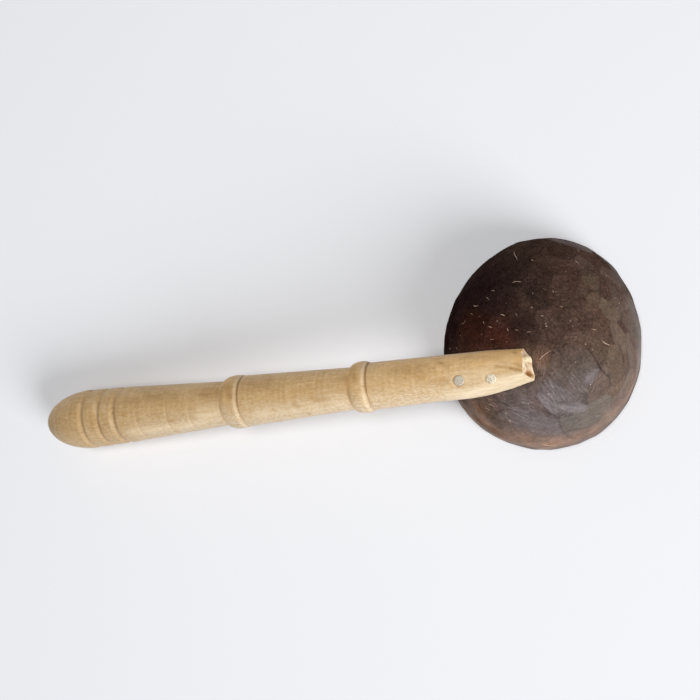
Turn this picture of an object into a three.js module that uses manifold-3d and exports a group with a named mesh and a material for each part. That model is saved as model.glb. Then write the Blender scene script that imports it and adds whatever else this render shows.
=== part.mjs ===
// Coconut shell spoon: half a coconut shell with a turned wooden handle nailed across its back.
// It lies face down on the sawn rim and on the butt of the handle.
// Millimetres, +Z up, the handle runs along X with its butt at the -X end.
import * as THREE from 'three';
import { mergeVertices } from 'three/addons/utils/BufferGeometryUtils.js';
import Module from 'manifold-3d';

// Shell: an oval dome with the three faint ridges of a coconut
const rimRadius = 47.2;
const rimOval = 2.1;
const rimOvalTurn = 78;
const rimLobe = 0.65;
const rimLobeTurn = -52;
const crownHeight = 50;
const shellWall = 4;

// Turned handle, section after section from the butt
const buttLength = 25.5;
const buttRadius = 14.45;
const grooveCount = 3;
const grooveInset = 2.2;
const grooveSpacing = 9;
const grooveWidth = 3;
const grooveDepth = 0.9;
const gripLength = 53.7;
const gripThick = 13.6;
const gripThin = 10.3;
const firstBeadRise = 6;
const firstBeadCrest = 3.4;
const firstBeadRadius = 12.4;
const middleLength = 52;
const middleThick = 11.9;
const middleThin = 9.5;
const secondBeadRise = 4.2;
const secondBeadCrest = 3;
const secondBeadRadius = 11.5;
const seatLength = 71.9;
const seatThick = 10.6;
const tipRadius = 9;
const beadFall = 2.2;
const beadCutWidth = 0.6;
const beadCutDepth = 0.5;

// How the handle lies on the shell
const handleSide = 11.7;
const tipShort = 2.9;
const tipWood = 6.6;

// Knife and saw work at the tip, angles in degrees
const whittleTip = 4.75;
const whittleLean = 23;
const whittleTaper = 10.2;
const endTurn = 6;
const endLean = 22;

// Nails, driven square to the handle and clinched inside the shell
const rimNailFromTip = 30.5;
const crownNailFromTip = 17.7;
const nailSide = 2.1;
const headRadius = 2.3;
const headThickness = 1;
const headBevel = 0.3;
const headProud = 0.25;
const shankRadius = 1.1;
const clinchClear = 0.9;
const clinchLift = 8;
const clinchBend = 2.5;
const clinchLeg = 5;
const pointLength = 3;

// Gap between pieces that touch
const fitGap = 0.3;

// Fineness of the round forms, and halvings of the search for a nail's way out
const shellSides = 64;
const shellRings = 16;
const handleSides = 48;
const curveSteps = 8;
const nailSides = 12;
const bendSteps = 10;
const searchSteps = 40;

const up = new THREE.Vector3(0, 0, 1);
const degrees = THREE.MathUtils.degToRad;
const wasm = await Module();
wasm.setup();

// Booleans

function solid(geometry) {
  const bare = geometry.clone();
  bare.deleteAttribute('normal');
  bare.deleteAttribute('uv');
  const merged = mergeVertices(bare);
  const corners = merged.index.array;
  const kept = [];
  for (let i = 0; i < corners.length; i += 3) {
    const [a, b, c] = corners.slice(i, i + 3);
    if (a !== b && b !== c && c !== a) kept.push(a, b, c);
  }
  const mesh = new wasm.Mesh({
    numProp: 3,
    vertProperties: merged.attributes.position.array,
    triVerts: new Uint32Array(kept),
  });
  return new wasm.Manifold(mesh);
}

function geometryOf(body) {
  const mesh = body.getMesh();
  const geometry = new THREE.BufferGeometry();
  geometry.setAttribute('position', new THREE.BufferAttribute(mesh.vertProperties, 3));
  geometry.setIndex(new THREE.BufferAttribute(mesh.triVerts, 1));
  geometry.computeVertexNormals();
  return geometry;
}

// Shell surface

function rimOutline(angle) {
  const oval = rimOval * Math.cos(2 * (angle - degrees(rimOvalTurn)));
  const lobe = rimLobe * Math.cos(3 * (angle - degrees(rimLobeTurn)));
  return rimRadius + oval + lobe;
}

// Height of a dome of the given mean radius and crown over a point of the rim plane.
function domeHeight(point, radius, crown) {
  const edge = rimOutline(Math.atan2(point.y, point.x)) * radius / rimRadius;
  const share = Math.hypot(point.x, point.y) / edge;
  return crown * Math.sqrt(Math.max(0, 1 - share * share));
}

// Quarter ellipse from the rim up to the crown.
function domeArc(radius, crown) {
  const points = [];
  for (let i = 0; i < shellRings; i += 1) {
    const angle = (i / shellRings) * Math.PI / 2;
    points.push(new THREE.Vector2(radius * Math.cos(angle), crown * Math.sin(angle)));
  }
  points.push(new THREE.Vector2(0, crown));
  return points;
}

// Revolve a profile about the crown and draw it out to the outline of the rim.
function domeBody(profile) {
  const geometry = new THREE.LatheGeometry(profile, shellSides);
  geometry.rotateX(Math.PI / 2);
  const place = geometry.attributes.position;
  for (let i = 0; i < place.count; i += 1) {
    const x = place.getX(i);
    const y = place.getY(i);
    const stretch = rimOutline(Math.atan2(y, x)) / rimRadius;
    place.setXY(i, x * stretch, y * stretch);
  }
  return geometry;
}

// Handle placing: the tip rests over the shell and the butt's rounded end touches the table

const bandLength = grooveInset + (grooveCount - 1) * grooveSpacing + grooveWidth / 2;
const gripStart = buttLength + bandLength;
const firstBeadStart = gripStart + gripLength;
const middleStart = firstBeadStart + firstBeadRise + firstBeadCrest + beadFall + beadCutWidth;
const secondBeadStart = middleStart + middleLength;
const seatStart = secondBeadStart + secondBeadRise + secondBeadCrest + beadFall + beadCutWidth;
const handleLength = seatStart + seatLength;

function handlePlacing() {
  const tip = new THREE.Vector3(-tipShort, -handleSide, 0);
  tip.z = domeHeight(tip, rimRadius, crownHeight) + fitGap + tipWood - tipRadius;
  const reach = handleLength - buttLength;
  const square = reach ** 2 - buttLength ** 2 + buttRadius ** 2;
  const rise = tip.z * reach;
  const sine = (rise - Math.sqrt(rise ** 2 - square * (tip.z ** 2 - buttRadius ** 2))) / square;
  const placing = new THREE.Matrix4().makeRotationY(-Math.asin(sine));
  const butt = new THREE.Vector3(-handleLength, 0, 0).applyMatrix4(placing).add(tip);
  return placing.setPosition(butt);
}

const placing = handlePlacing();

// Handle

function buttDome() {
  const points = [new THREE.Vector2(0, 0)];
  for (let i = 1; i <= curveSteps; i += 1) {
    const angle = (i / curveSteps) * Math.PI / 2;
    points.push(new THREE.Vector2(buttRadius * Math.sin(angle), buttLength * (1 - Math.cos(angle))));
  }
  return points;
}

// Swollen band with its row of V grooves, thinning evenly towards the grip.
function groovedBand() {
  const points = [];
  const radiusAt = (along) => THREE.MathUtils.lerp(buttRadius, gripThick, along / bandLength);
  for (let i = 0; i < grooveCount; i += 1) {
    const along = grooveInset + i * grooveSpacing;
    for (const side of [-grooveWidth / 2, 0, grooveWidth / 2]) {
      const depth = side === 0 ? grooveDepth : 0;
      points.push(new THREE.Vector2(radiusAt(along + side) - depth, buttLength + along + side));
    }
  }
  return points;
}

// Ring that sweeps up from one taper to a flat crest, rounds over and ends in a fine cut.
function bead(start, rise, crest, before, peak, after) {
  const valley = after - beadCutDepth;
  const crestEnd = start + rise + crest;
  const points = [];
  for (let i = 0; i <= curveSteps; i += 1) {
    const swell = (1 - Math.cos((i / curveSteps) * Math.PI)) / 2;
    points.push(new THREE.Vector2(before + (peak - before) * swell, start + rise * i / curveSteps));
  }
  for (let i = 0; i <= curveSteps / 2; i += 1) {
    const angle = (i / (curveSteps / 2)) * Math.PI / 2;
    const radius = valley + (peak - valley) * Math.cos(angle);
    points.push(new THREE.Vector2(radius, crestEnd + beadFall * Math.sin(angle)));
  }
  points.push(new THREE.Vector2(after, crestEnd + beadFall + beadCutWidth));
  return points;
}

function turnedHandle() {
  const overrun = handleLength + tipRadius;
  const profile = [
    ...buttDome(),
    ...groovedBand(),
    ...bead(firstBeadStart, firstBeadRise, firstBeadCrest, gripThin, firstBeadRadius, middleThick),
    ...bead(secondBeadStart, secondBeadRise, secondBeadCrest, middleThin, secondBeadRadius, seatThick),
    new THREE.Vector2(tipRadius, handleLength),
    new THREE.Vector2(tipRadius, overrun),
    new THREE.Vector2(0, overrun),
  ];
  return new THREE.LatheGeometry(profile, handleSides).rotateZ(-Math.PI / 2);
}

// Block whose near face is the flat left by the knife on the -Y side of the tip.
function whittledOff() {
  const reach = handleLength;
  const block = new THREE.BoxGeometry(reach, reach, reach).translate(0, -reach / 2, 0);
  block.rotateX(-degrees(whittleLean)).rotateZ(degrees(whittleTaper));
  const lean = degrees(whittleLean);
  return block.translate(handleLength, -whittleTip * Math.cos(lean), whittleTip * Math.sin(lean));
}

// Block whose near face is the skewed end of the handle.
function sawnOff() {
  const reach = handleLength;
  const block = new THREE.BoxGeometry(reach, reach, reach).translate(reach / 2, 0, 0);
  block.rotateY(-degrees(endLean)).rotateZ(degrees(endTurn));
  return block.translate(handleLength, 0, 0);
}

function handleGeometry() {
  const seat = domeBody([
    new THREE.Vector2(0, 0),
    ...domeArc(rimRadius + fitGap, crownHeight + fitGap),
  ]);
  seat.applyMatrix4(placing.clone().invert());
  let body = solid(turnedHandle());
  for (const cut of [seat, whittledOff(), sawnOff()]) body = body.subtract(solid(cut));
  for (const nail of nails) {
    body = body.subtract(solid(shankHole(nail)));
    body = body.subtract(solid(headHole(nail)));
  }
  return geometryOf(body);
}

// Nails, each in its own frame with the head's top at the origin and the shank along -Z

function seatRadius(station) {
  const share = (station - seatStart) / seatLength;
  return THREE.MathUtils.lerp(seatThick, tipRadius, share);
}

function nailAt(fromTip) {
  const station = handleLength - fromTip;
  const surface = Math.sqrt(seatRadius(station) ** 2 - nailSide ** 2);
  const head = new THREE.Vector3(station, -nailSide, surface + headProud);
  const exit = exitDepth(head);
  const step = shankRadius;
  const deeper = exitDepth(head.clone().setX(station - step)) - exit;
  const wallAngle = Math.atan2(step, deeper);
  const straight = exit + (shankRadius + clinchClear) / Math.sin(wallAngle);
  return { head, straight, turn: wallAngle - degrees(clinchLift) };
}

// Depth under the head at which the shank comes out of the shell's inner face.
function exitDepth(head) {
  const start = head.clone().applyMatrix4(placing);
  const down = up.clone().negate().transformDirection(placing);
  let above = 0;
  let below = crownHeight + tipWood;
  for (let i = 0; i < searchSteps; i += 1) {
    const middle = (above + below) / 2;
    const point = start.clone().addScaledVector(down, middle);
    const inner = domeHeight(point, rimRadius - shellWall, crownHeight - shellWall);
    if (point.z > inner) above = middle;
    else below = middle;
  }
  return above;
}

// Bent end of a nail, from inside the straight shank to where the point begins.
function clinchPath(nail) {
  const pull = clinchBend * Math.tan(nail.turn / 2);
  const leg = new THREE.Vector3(-Math.sin(nail.turn), 0, -Math.cos(nail.turn));
  const bendStart = new THREE.Vector3(0, 0, -nail.straight);
  const corner = new THREE.Vector3(0, 0, -nail.straight - pull);
  const bendEnd = corner.clone().addScaledVector(leg, pull);
  const end = bendEnd.clone().addScaledVector(leg, clinchLeg);
  const path = new THREE.CurvePath();
  path.add(new THREE.QuadraticBezierCurve3(bendStart, corner, bendEnd));
  path.add(new THREE.LineCurve3(bendEnd, end));
  return { path, end, leg };
}

function nailGeometry(nail) {
  const overlap = shankRadius / 2;
  const profile = [
    new THREE.Vector2(0, -nail.straight - overlap),
    new THREE.Vector2(shankRadius, -nail.straight - overlap),
    new THREE.Vector2(shankRadius, -headThickness),
    new THREE.Vector2(headRadius, -headThickness),
    new THREE.Vector2(headRadius, -headBevel),
    new THREE.Vector2(headRadius - headBevel, 0),
    new THREE.Vector2(0, 0),
  ];
  const shank = new THREE.LatheGeometry(profile, 2 * nailSides).rotateX(Math.PI / 2);
  const { path, end, leg } = clinchPath(nail);
  const round = new THREE.Shape().absarc(0, 0, shankRadius, 0, 2 * Math.PI);
  const clinch = new THREE.ExtrudeGeometry(round, {
    steps: bendSteps,
    curveSegments: nailSides / 2,
    extrudePath: path,
    bevelEnabled: false,
  });
  const point = new THREE.ConeGeometry(shankRadius, pointLength, nailSides);
  point.translate(0, pointLength / 2 - overlap, 0);
  const aim = new THREE.Quaternion().setFromUnitVectors(new THREE.Vector3(0, 1, 0), leg);
  point.applyQuaternion(aim).translate(end.x, end.y, end.z);
  return geometryOf(solid(shank).add(solid(clinch)).add(solid(point)));
}

// Straight hole for a shank, through the handle and the shell, in the handle's frame.
function shankHole(nail) {
  const hole = new THREE.CylinderGeometry(
    shankRadius + fitGap, shankRadius + fitGap, nail.straight, nailSides);
  hole.rotateX(Math.PI / 2).translate(0, 0, -nail.straight / 2);
  return hole.translate(nail.head.x, nail.head.y, nail.head.z);
}

// Round recess that the head sits in, in the handle's frame.
function headHole(nail) {
  const depth = headThickness + fitGap;
  const height = depth + tipRadius;
  const hole = new THREE.CylinderGeometry(
    headRadius + fitGap, headRadius + fitGap, height, 2 * nailSides);
  hole.rotateX(Math.PI / 2).translate(0, 0, height / 2 - depth);
  return hole.translate(nail.head.x, nail.head.y, nail.head.z);
}

const rimNail = nailAt(rimNailFromTip);
const crownNail = nailAt(crownNailFromTip);
const nails = [rimNail, crownNail];

// Shell with its nail holes

function shellGeometry() {
  const inner = domeArc(rimRadius - shellWall, crownHeight - shellWall).reverse();
  let body = solid(domeBody([...inner, ...domeArc(rimRadius, crownHeight)]));
  for (const nail of nails) body = body.subtract(solid(shankHole(nail).applyMatrix4(placing)));
  return geometryOf(body);
}

// Assembly

function piece(name, geometry, color, roughness, metalness) {
  const material = new THREE.MeshStandardMaterial({ color, roughness, metalness });
  const mesh = new THREE.Mesh(geometry, material);
  mesh.name = name;
  return mesh;
}

const handleGroup = new THREE.Group();
handleGroup.applyMatrix4(placing);
handleGroup.add(piece('handle', handleGeometry(), 0xd8b887, 0.6, 0));
const nailNames = ['nail_rim', 'nail_crown'];
nails.forEach((nail, i) => {
  const mesh = piece(nailNames[i], nailGeometry(nail), 0xb4b2ac, 0.45, 0.9);
  mesh.position.copy(nail.head);
  handleGroup.add(mesh);
});

const spoon = new THREE.Group();
spoon.add(piece('shell_bowl', shellGeometry(), 0x4a342b, 0.55, 0));
spoon.add(handleGroup);

// Origin at the middle of the spoon's box, on the table
const box = new THREE.Box3().setFromObject(spoon, true);
const middle = box.getCenter(new THREE.Vector3());
spoon.position.set(-middle.x, -middle.y, -box.min.z);

export default spoon;
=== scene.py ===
import bpy
import numpy as np
from mathutils import Matrix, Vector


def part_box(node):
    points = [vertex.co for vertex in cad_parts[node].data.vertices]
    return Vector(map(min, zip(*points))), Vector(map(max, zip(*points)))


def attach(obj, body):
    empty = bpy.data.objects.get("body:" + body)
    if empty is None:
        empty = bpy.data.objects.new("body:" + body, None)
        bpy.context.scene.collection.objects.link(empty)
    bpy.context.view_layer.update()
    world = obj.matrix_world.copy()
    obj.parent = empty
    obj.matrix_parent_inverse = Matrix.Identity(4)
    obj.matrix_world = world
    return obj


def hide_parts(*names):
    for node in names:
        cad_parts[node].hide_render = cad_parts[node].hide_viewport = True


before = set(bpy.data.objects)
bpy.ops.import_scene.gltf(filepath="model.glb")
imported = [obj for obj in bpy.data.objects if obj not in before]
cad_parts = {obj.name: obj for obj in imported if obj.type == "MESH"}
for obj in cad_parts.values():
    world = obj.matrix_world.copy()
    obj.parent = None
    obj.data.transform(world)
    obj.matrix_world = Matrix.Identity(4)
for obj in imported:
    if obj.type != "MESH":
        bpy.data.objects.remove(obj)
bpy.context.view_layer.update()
scene = bpy.context.scene
mm = 0.001
fullTurn = 2 * np.pi
print("frame loaded, nodes:", ", ".join(sorted(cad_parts)))


# Small maths

def unit(vectors):
    # Each vector divided by its own length
    vectors = np.asarray(vectors, float)
    return vectors / np.linalg.norm(vectors, axis=-1, keepdims=True)


def ease(low, high, value):
    # Cubic step from 0 at low to 1 at high
    share = np.clip((value - low) / (high - low), 0, 1)
    return share * share * (3 - 2 * share)


def bell(gap, spread):
    # Bell curve: e to the power of less the squared share of gap in spread
    return np.exp(-(gap / spread) ** 2)


def evenTurns(count):
    # Angles that share out a full turn
    return np.arange(count) / count * fullTurn


def ripple(points, wavelength, seed, count=20, paces=(0.6, 1.6)):
    # Sum of sine waves in seeded directions, about -1 to 1
    rng = np.random.default_rng(seed)
    ways = unit(rng.normal(size=(count, 3))) * rng.uniform(*paces, (count, 1))
    phase = rng.uniform(0, fullTurn, count)
    waves = np.sin(points @ (ways.T * fullTurn / wavelength) + phase)
    return waves.sum(axis=-1) / np.sqrt(2 * count)


def halve(inside, near, far, steps=45):
    # Halving search between a distance that is outside and one that is inside
    for _ in range(steps):
        middle = (near + far) / 2
        hit = inside(middle)
        far = np.where(hit, middle, far)
        near = np.where(hit, near, middle)
    return far


# Camera at the photograph's view, pixels counted from the top left of a square frame

photoView = {
    "place": (0.109196, -0.026988, 0.452462),
    "target": (0.014450, 0.006484, 0.020000),
    "top": (0.116413, 0.991877, 0.051266),
    "focal": 953.5,
    "side": 700,
    "sensor": 36.0,
    "nearest": 0.01,
    "farthest": 20.0,
}

eye = np.array(photoView["place"])
sightAhead = unit(np.array(photoView["target"]) - eye)
sightRight = unit(np.cross(sightAhead, photoView["top"]))
sightDown = np.cross(sightAhead, sightRight)


def placing(right, up, back, place):
    # Matrix whose columns are an object's own X, Y and Z and its place
    matrix = np.eye(4)
    matrix[:3] = np.column_stack([right, up, back, place])
    return Matrix(matrix.tolist())


def makeCamera(view):
    data = bpy.data.cameras.new("photo_camera")
    data.sensor_width = view["sensor"]
    data.sensor_fit = "HORIZONTAL"
    data.lens = view["focal"] / view["side"] * view["sensor"]
    data.clip_start = view["nearest"]
    data.clip_end = view["farthest"]
    camera = bpy.data.objects.new("photo_camera", data)
    scene.collection.objects.link(camera)
    camera.matrix_world = placing(sightRight, -sightDown, -sightAhead, eye)
    scene.camera = camera


def sightThrough(pixels):
    # Direction from the eye through each pixel
    shift = np.atleast_2d(np.asarray(pixels, float)) - photoView["side"] / 2
    sideways = shift[:, :1] * sightRight + shift[:, 1:] * sightDown
    return unit(sightAhead * photoView["focal"] + sideways)


makeCamera(photoView)
print("camera placed")


# Meshes

def outwardFaces(points, faces):
    # Faces are turned over where the volume that they close would be negative
    corners = points[np.array([face[:3] for face in faces])]
    volume = np.einsum("ij,ij->i", corners[:, 0], np.cross(corners[:, 1], corners[:, 2])).sum()
    return faces if volume > 0 else [face[::-1] for face in faces]


def newObject(name, points, faces, materials):
    mesh = bpy.data.meshes.new(name)
    mesh.from_pydata(points.tolist(), [], faces)
    mesh.polygons.foreach_set("use_smooth", np.ones(len(faces), bool))
    for material in materials:
        mesh.materials.append(material)
    mesh.update()
    thing = bpy.data.objects.new(name, mesh)
    scene.collection.objects.link(thing)
    return thing


def newPiece(name, points, faces, materials, body="root"):
    piece = newObject(name, points, faces, materials)
    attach(piece, body)
    return piece


def ringFaces(rows, columns, first=0):
    # Quads between neighbouring closed rings, then fans to a pole before the first and after the last
    index = first + np.arange(rows * columns).reshape(rows, columns)
    beside = np.roll(index, -1, axis=1)
    quads = np.stack([index[:-1], beside[:-1], beside[1:], index[1:]], axis=-1).reshape(-1, 4)
    startPole = np.full(columns, first + rows * columns)
    startFan = np.stack([startPole, beside[0], index[0]], axis=-1)
    endFan = np.stack([index[-1], beside[-1], startPole + 1], axis=-1)
    return quads.tolist() + startFan.tolist() + endFan.tolist()


def ringPoints(grid, startPole, endPole):
    # The rings' points, then both poles, in the order that ringFaces counts them
    return np.vstack([grid.reshape(-1, 3), startPole, endPole])


def colourValues(piece, name, colours):
    layer = piece.data.attributes.new(name, "FLOAT_COLOR", "POINT")
    filled = np.column_stack([colours, np.ones(len(colours))])
    layer.data.foreach_set("color", filled.astype(np.float32).ravel())


def pointValues(piece, name, values):
    layer = piece.data.attributes.new(name, "FLOAT", "POINT")
    layer.data.foreach_set("value", np.ascontiguousarray(values, np.float32).ravel())


# Node helpers

def newMaterial(name):
    material = bpy.data.materials.new(name)
    material.use_nodes = True
    return material, material.node_tree, material.node_tree.nodes["Principled BSDF"]


def addNode(tree, kind, settings=None, values=None, links=None):
    node = tree.nodes.new(kind)
    for key, value in (settings or {}).items():
        setattr(node, key, value)
    for key, value in (values or {}).items():
        node.inputs[key].default_value = value
    for key, socket in (links or {}).items():
        tree.links.new(socket, node.inputs[key])
    return node


def objectPlace(tree, scale, turn=(0, 0, 0)):
    # Object coordinates, turned and stretched
    place = addNode(tree, "ShaderNodeTexCoord").outputs["Object"]
    spin = addNode(tree, "ShaderNodeMapping", values={"Rotation": turn}, links={"Vector": place})
    stretch = addNode(
        tree, "ShaderNodeMapping", values={"Scale": scale}, links={"Vector": spin.outputs["Vector"]})
    return stretch.outputs["Vector"]


def surfacePlace(tree, scale):
    # The piece's own UV map, stretched
    place = addNode(tree, "ShaderNodeUVMap").outputs["UV"]
    stretch = addNode(tree, "ShaderNodeMapping", values={"Scale": scale}, links={"Vector": place})
    return stretch.outputs["Vector"]


def speckle(tree, place, scale=1.0, detail=3.0, roughness=0.55, distortion=0.0):
    values = {"Scale": scale, "Detail": detail, "Roughness": roughness, "Distortion": distortion}
    return addNode(tree, "ShaderNodeTexNoise", values=values, links={"Vector": place}).outputs["Fac"]


def objectSpeckle(tree, scale, turn=(0, 0, 0), **settings):
    return speckle(tree, objectPlace(tree, scale, turn), **settings)


def strokeSpeckle(tree, scale, **settings):
    return speckle(tree, surfacePlace(tree, scale), **settings)


def speckles(tree, named, **more):
    # One noise for each of the named settings, in their order
    return [objectSpeckle(tree, **settings, **more) for settings in named.values()]


def attribute(tree, name, output="Fac"):
    return addNode(tree, "ShaderNodeAttribute", {"attribute_name": name}).outputs[output]


def spread(tree, value, low, high, start=0.0, end=1.0):
    # Value from low to high carried to start to end, and held there
    values = {"From Min": low, "From Max": high, "To Min": start, "To Max": end}
    return addNode(tree, "ShaderNodeMapRange", values=values, links={"Value": value}).outputs["Result"]


def give(tree, socket, value):
    # A link where the value is a socket, otherwise a constant, three numbers being a colour
    if isinstance(value, bpy.types.NodeSocket):
        tree.links.new(value, socket)
    else:
        socket.default_value = (*value, 1) if isinstance(value, tuple) else value


def feed(tree, shader, values):
    for name, value in values.items():
        give(tree, shader.inputs[name], value)


def reckon(tree, operation, first, second):
    # Sum, product or greater of two values, each a socket or a number
    node = addNode(tree, "ShaderNodeMath", {"operation": operation})
    give(tree, node.inputs[0], first)
    give(tree, node.inputs[1], second)
    return node.outputs["Value"]


def times(tree, first, second):
    return reckon(tree, "MULTIPLY", first, second)


def blend(tree, share, first, second, way="MIX"):
    # Colour mix, each colour a socket or three numbers; 6 and 7 are the mix node's colours
    node = addNode(tree, "ShaderNodeMix", {"data_type": "RGBA", "blend_type": way})
    for slot, value in ((0, share), (6, first), (7, second)):
        give(tree, node.inputs[slot], value)
    return node.outputs[2]


def shade(tree, colour, value):
    # Colour times a grey value
    grey = addNode(tree, "ShaderNodeCombineColor", links=dict.fromkeys(("Red", "Green", "Blue"), value))
    return blend(tree, 1.0, colour, grey.outputs["Color"], "MULTIPLY")


def relief(tree, height, strength, distance, under=None):
    # Bump from a height, over another bump where one is given
    links = {"Height": height}
    if under is not None:
        links["Normal"] = under
    values = {"Strength": strength, "Distance": distance}
    return addNode(tree, "ShaderNodeBump", values=values, links=links).outputs["Normal"]


# Coconut shell: an oval dome with scraped knife cuts, a sawn rim and a smooth inside

shellForm = {
    "rimRadius": 47.2 * mm,
    "oval": 2.1 * mm,
    "ovalTurn": np.radians(78),
    "lobe": 0.65 * mm,
    "lobeTurn": np.radians(-52),
    "crown": 50 * mm,
    "wall": 4 * mm,
    "columns": 480,
    "outerRows": 150,
    "innerRows": 44,
    "rimRows": 4,
    "sightReach": 80 * mm,
    "rimRound": 0.35 * mm,
    "skin": 0.03 * mm,
    "weave": 0.14 * mm,
    "weaveLength": 8 * mm,
    "weaveSeed": 5,
    "innerWave": 0.25 * mm,
    "innerWaveLength": 22 * mm,
    "innerWaveSeed": 8,
    "normalStep": 0.01 * mm,
}


def rimOutline(angle):
    # Mean rim radius plus a wave of two for the oval and a wave of three for the nut's ridges
    oval = shellForm["oval"] * np.cos(2 * (angle - shellForm["ovalTurn"]))
    lobe = shellForm["lobe"] * np.cos(3 * (angle - shellForm["lobeTurn"]))
    return shellForm["rimRadius"] + oval + lobe


def findShellMiddle(steps=3600):
    # The outline's lowest corner is laid on the node's lowest corner
    angle = np.linspace(0, fullTurn, steps)
    edge = rimOutline(angle)
    corner = np.array(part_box("shell_bowl")[0])
    low = np.array([(edge * np.cos(angle)).min(), (edge * np.sin(angle)).min(), 0])
    return (corner - low) * (1, 1, 0)


shellMiddle = findShellMiddle()


def domePoint(angle, rise, inset=0.0):
    # In each upright plane a quarter ellipse: outline times cosine outwards, crown times sine upwards
    angle, rise = np.broadcast_arrays(angle, rise)
    reach = rimOutline(angle) * (1 - inset / shellForm["rimRadius"]) * np.cos(rise)
    height = (shellForm["crown"] - inset) * np.sin(rise)
    return shellMiddle + np.stack([reach * np.cos(angle), reach * np.sin(angle), height], axis=-1)


def domeShare(points, inset=0.0):
    # Below 1 inside the dome, 1 on it: squared share of the outline plus squared share of the crown
    away = points - shellMiddle
    edge = rimOutline(np.arctan2(away[..., 1], away[..., 0])) * (1 - inset / shellForm["rimRadius"])
    across = (away[..., 0] ** 2 + away[..., 1] ** 2) / edge ** 2
    return across + (away[..., 2] / (shellForm["crown"] - inset)) ** 2


def domeNormal(points):
    # Steepest way out of the dome, from differences of its share along X, Y and Z
    step = shellForm["normalStep"] * np.eye(3)
    slope = [domeShare(points + way) - domeShare(points - way) for way in step]
    return unit(np.stack(slope, axis=-1))


def firstMeeting(measure, pixels, heart, reach, trials=300):
    # Where the sight through each pixel first meets the form whose measure is below zero inside
    ways = sightThrough(pixels)
    away = np.linalg.norm(heart - eye)
    trial = np.linspace(away - reach, away + reach, trials)
    deepest = trial[measure(eye + trial[:, None, None] * ways).argmin(axis=0)]
    depth = halve(lambda far: measure(eye + far[:, None] * ways) < 0, np.zeros(len(ways)), deepest)
    return eye + depth[:, None] * ways


def markValues(points, marks, locate):
    # Strongest of the marks at each point, a bell curve of the distance to a short line
    strongest = np.zeros(points.shape[:-1])
    starts = locate([mark[:2] for mark in marks])
    ends = locate([mark[2:4] for mark in marks])
    for start, end, mark in zip(starts, ends, marks):
        line = end - start
        share = np.clip((points - start) @ line / (line @ line), 0, 1)
        gap = np.linalg.norm(points - start - share[..., None] * line, axis=-1)
        strongest = np.maximum(strongest, mark[5] * bell(gap, mark[4] * mm))
    return strongest


def onShell(pixels):
    # Where the sight through each pixel meets the dome
    def measure(points):
        return domeShare(points) - 1

    return firstMeeting(measure, pixels, shellMiddle, shellForm["sightReach"])


def shellSpot(points, pixel, size):
    # Bell curve of the distance to the place where a pixel meets the dome
    return bell(np.linalg.norm(points - onShell([pixel])[0], axis=-1), size * mm)


def shellSpots(points, places):
    # Strongest of several such spots at each point
    return np.max([shellSpot(points, pixel, size) for pixel, size in places], axis=0)


# Colours of scraped and unscraped shell
shellTints = {
    "plain": (0.083, 0.049, 0.037),
    "brown": (0.066, 0.036, 0.028),
    # The next two tints are painted reflection of the light on the lit lower facets: the first partly,
    # the second wholly
    "lilac": (0.122, 0.101, 0.103),
    "bloom": (0.185, 0.157, 0.163),
    "olive": (0.096, 0.066, 0.042),
    "green": (0.140, 0.114, 0.088),
    "grey": (0.108, 0.078, 0.063),
    "tan": (0.136, 0.088, 0.056),
    "rose": (0.132, 0.084, 0.060),
    "red": (0.056, 0.016, 0.009),
    "dark": (0.019, 0.010, 0.010),
    "rust": (0.290, 0.150, 0.080),
    "buff": (0.215, 0.148, 0.102),
}

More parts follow.
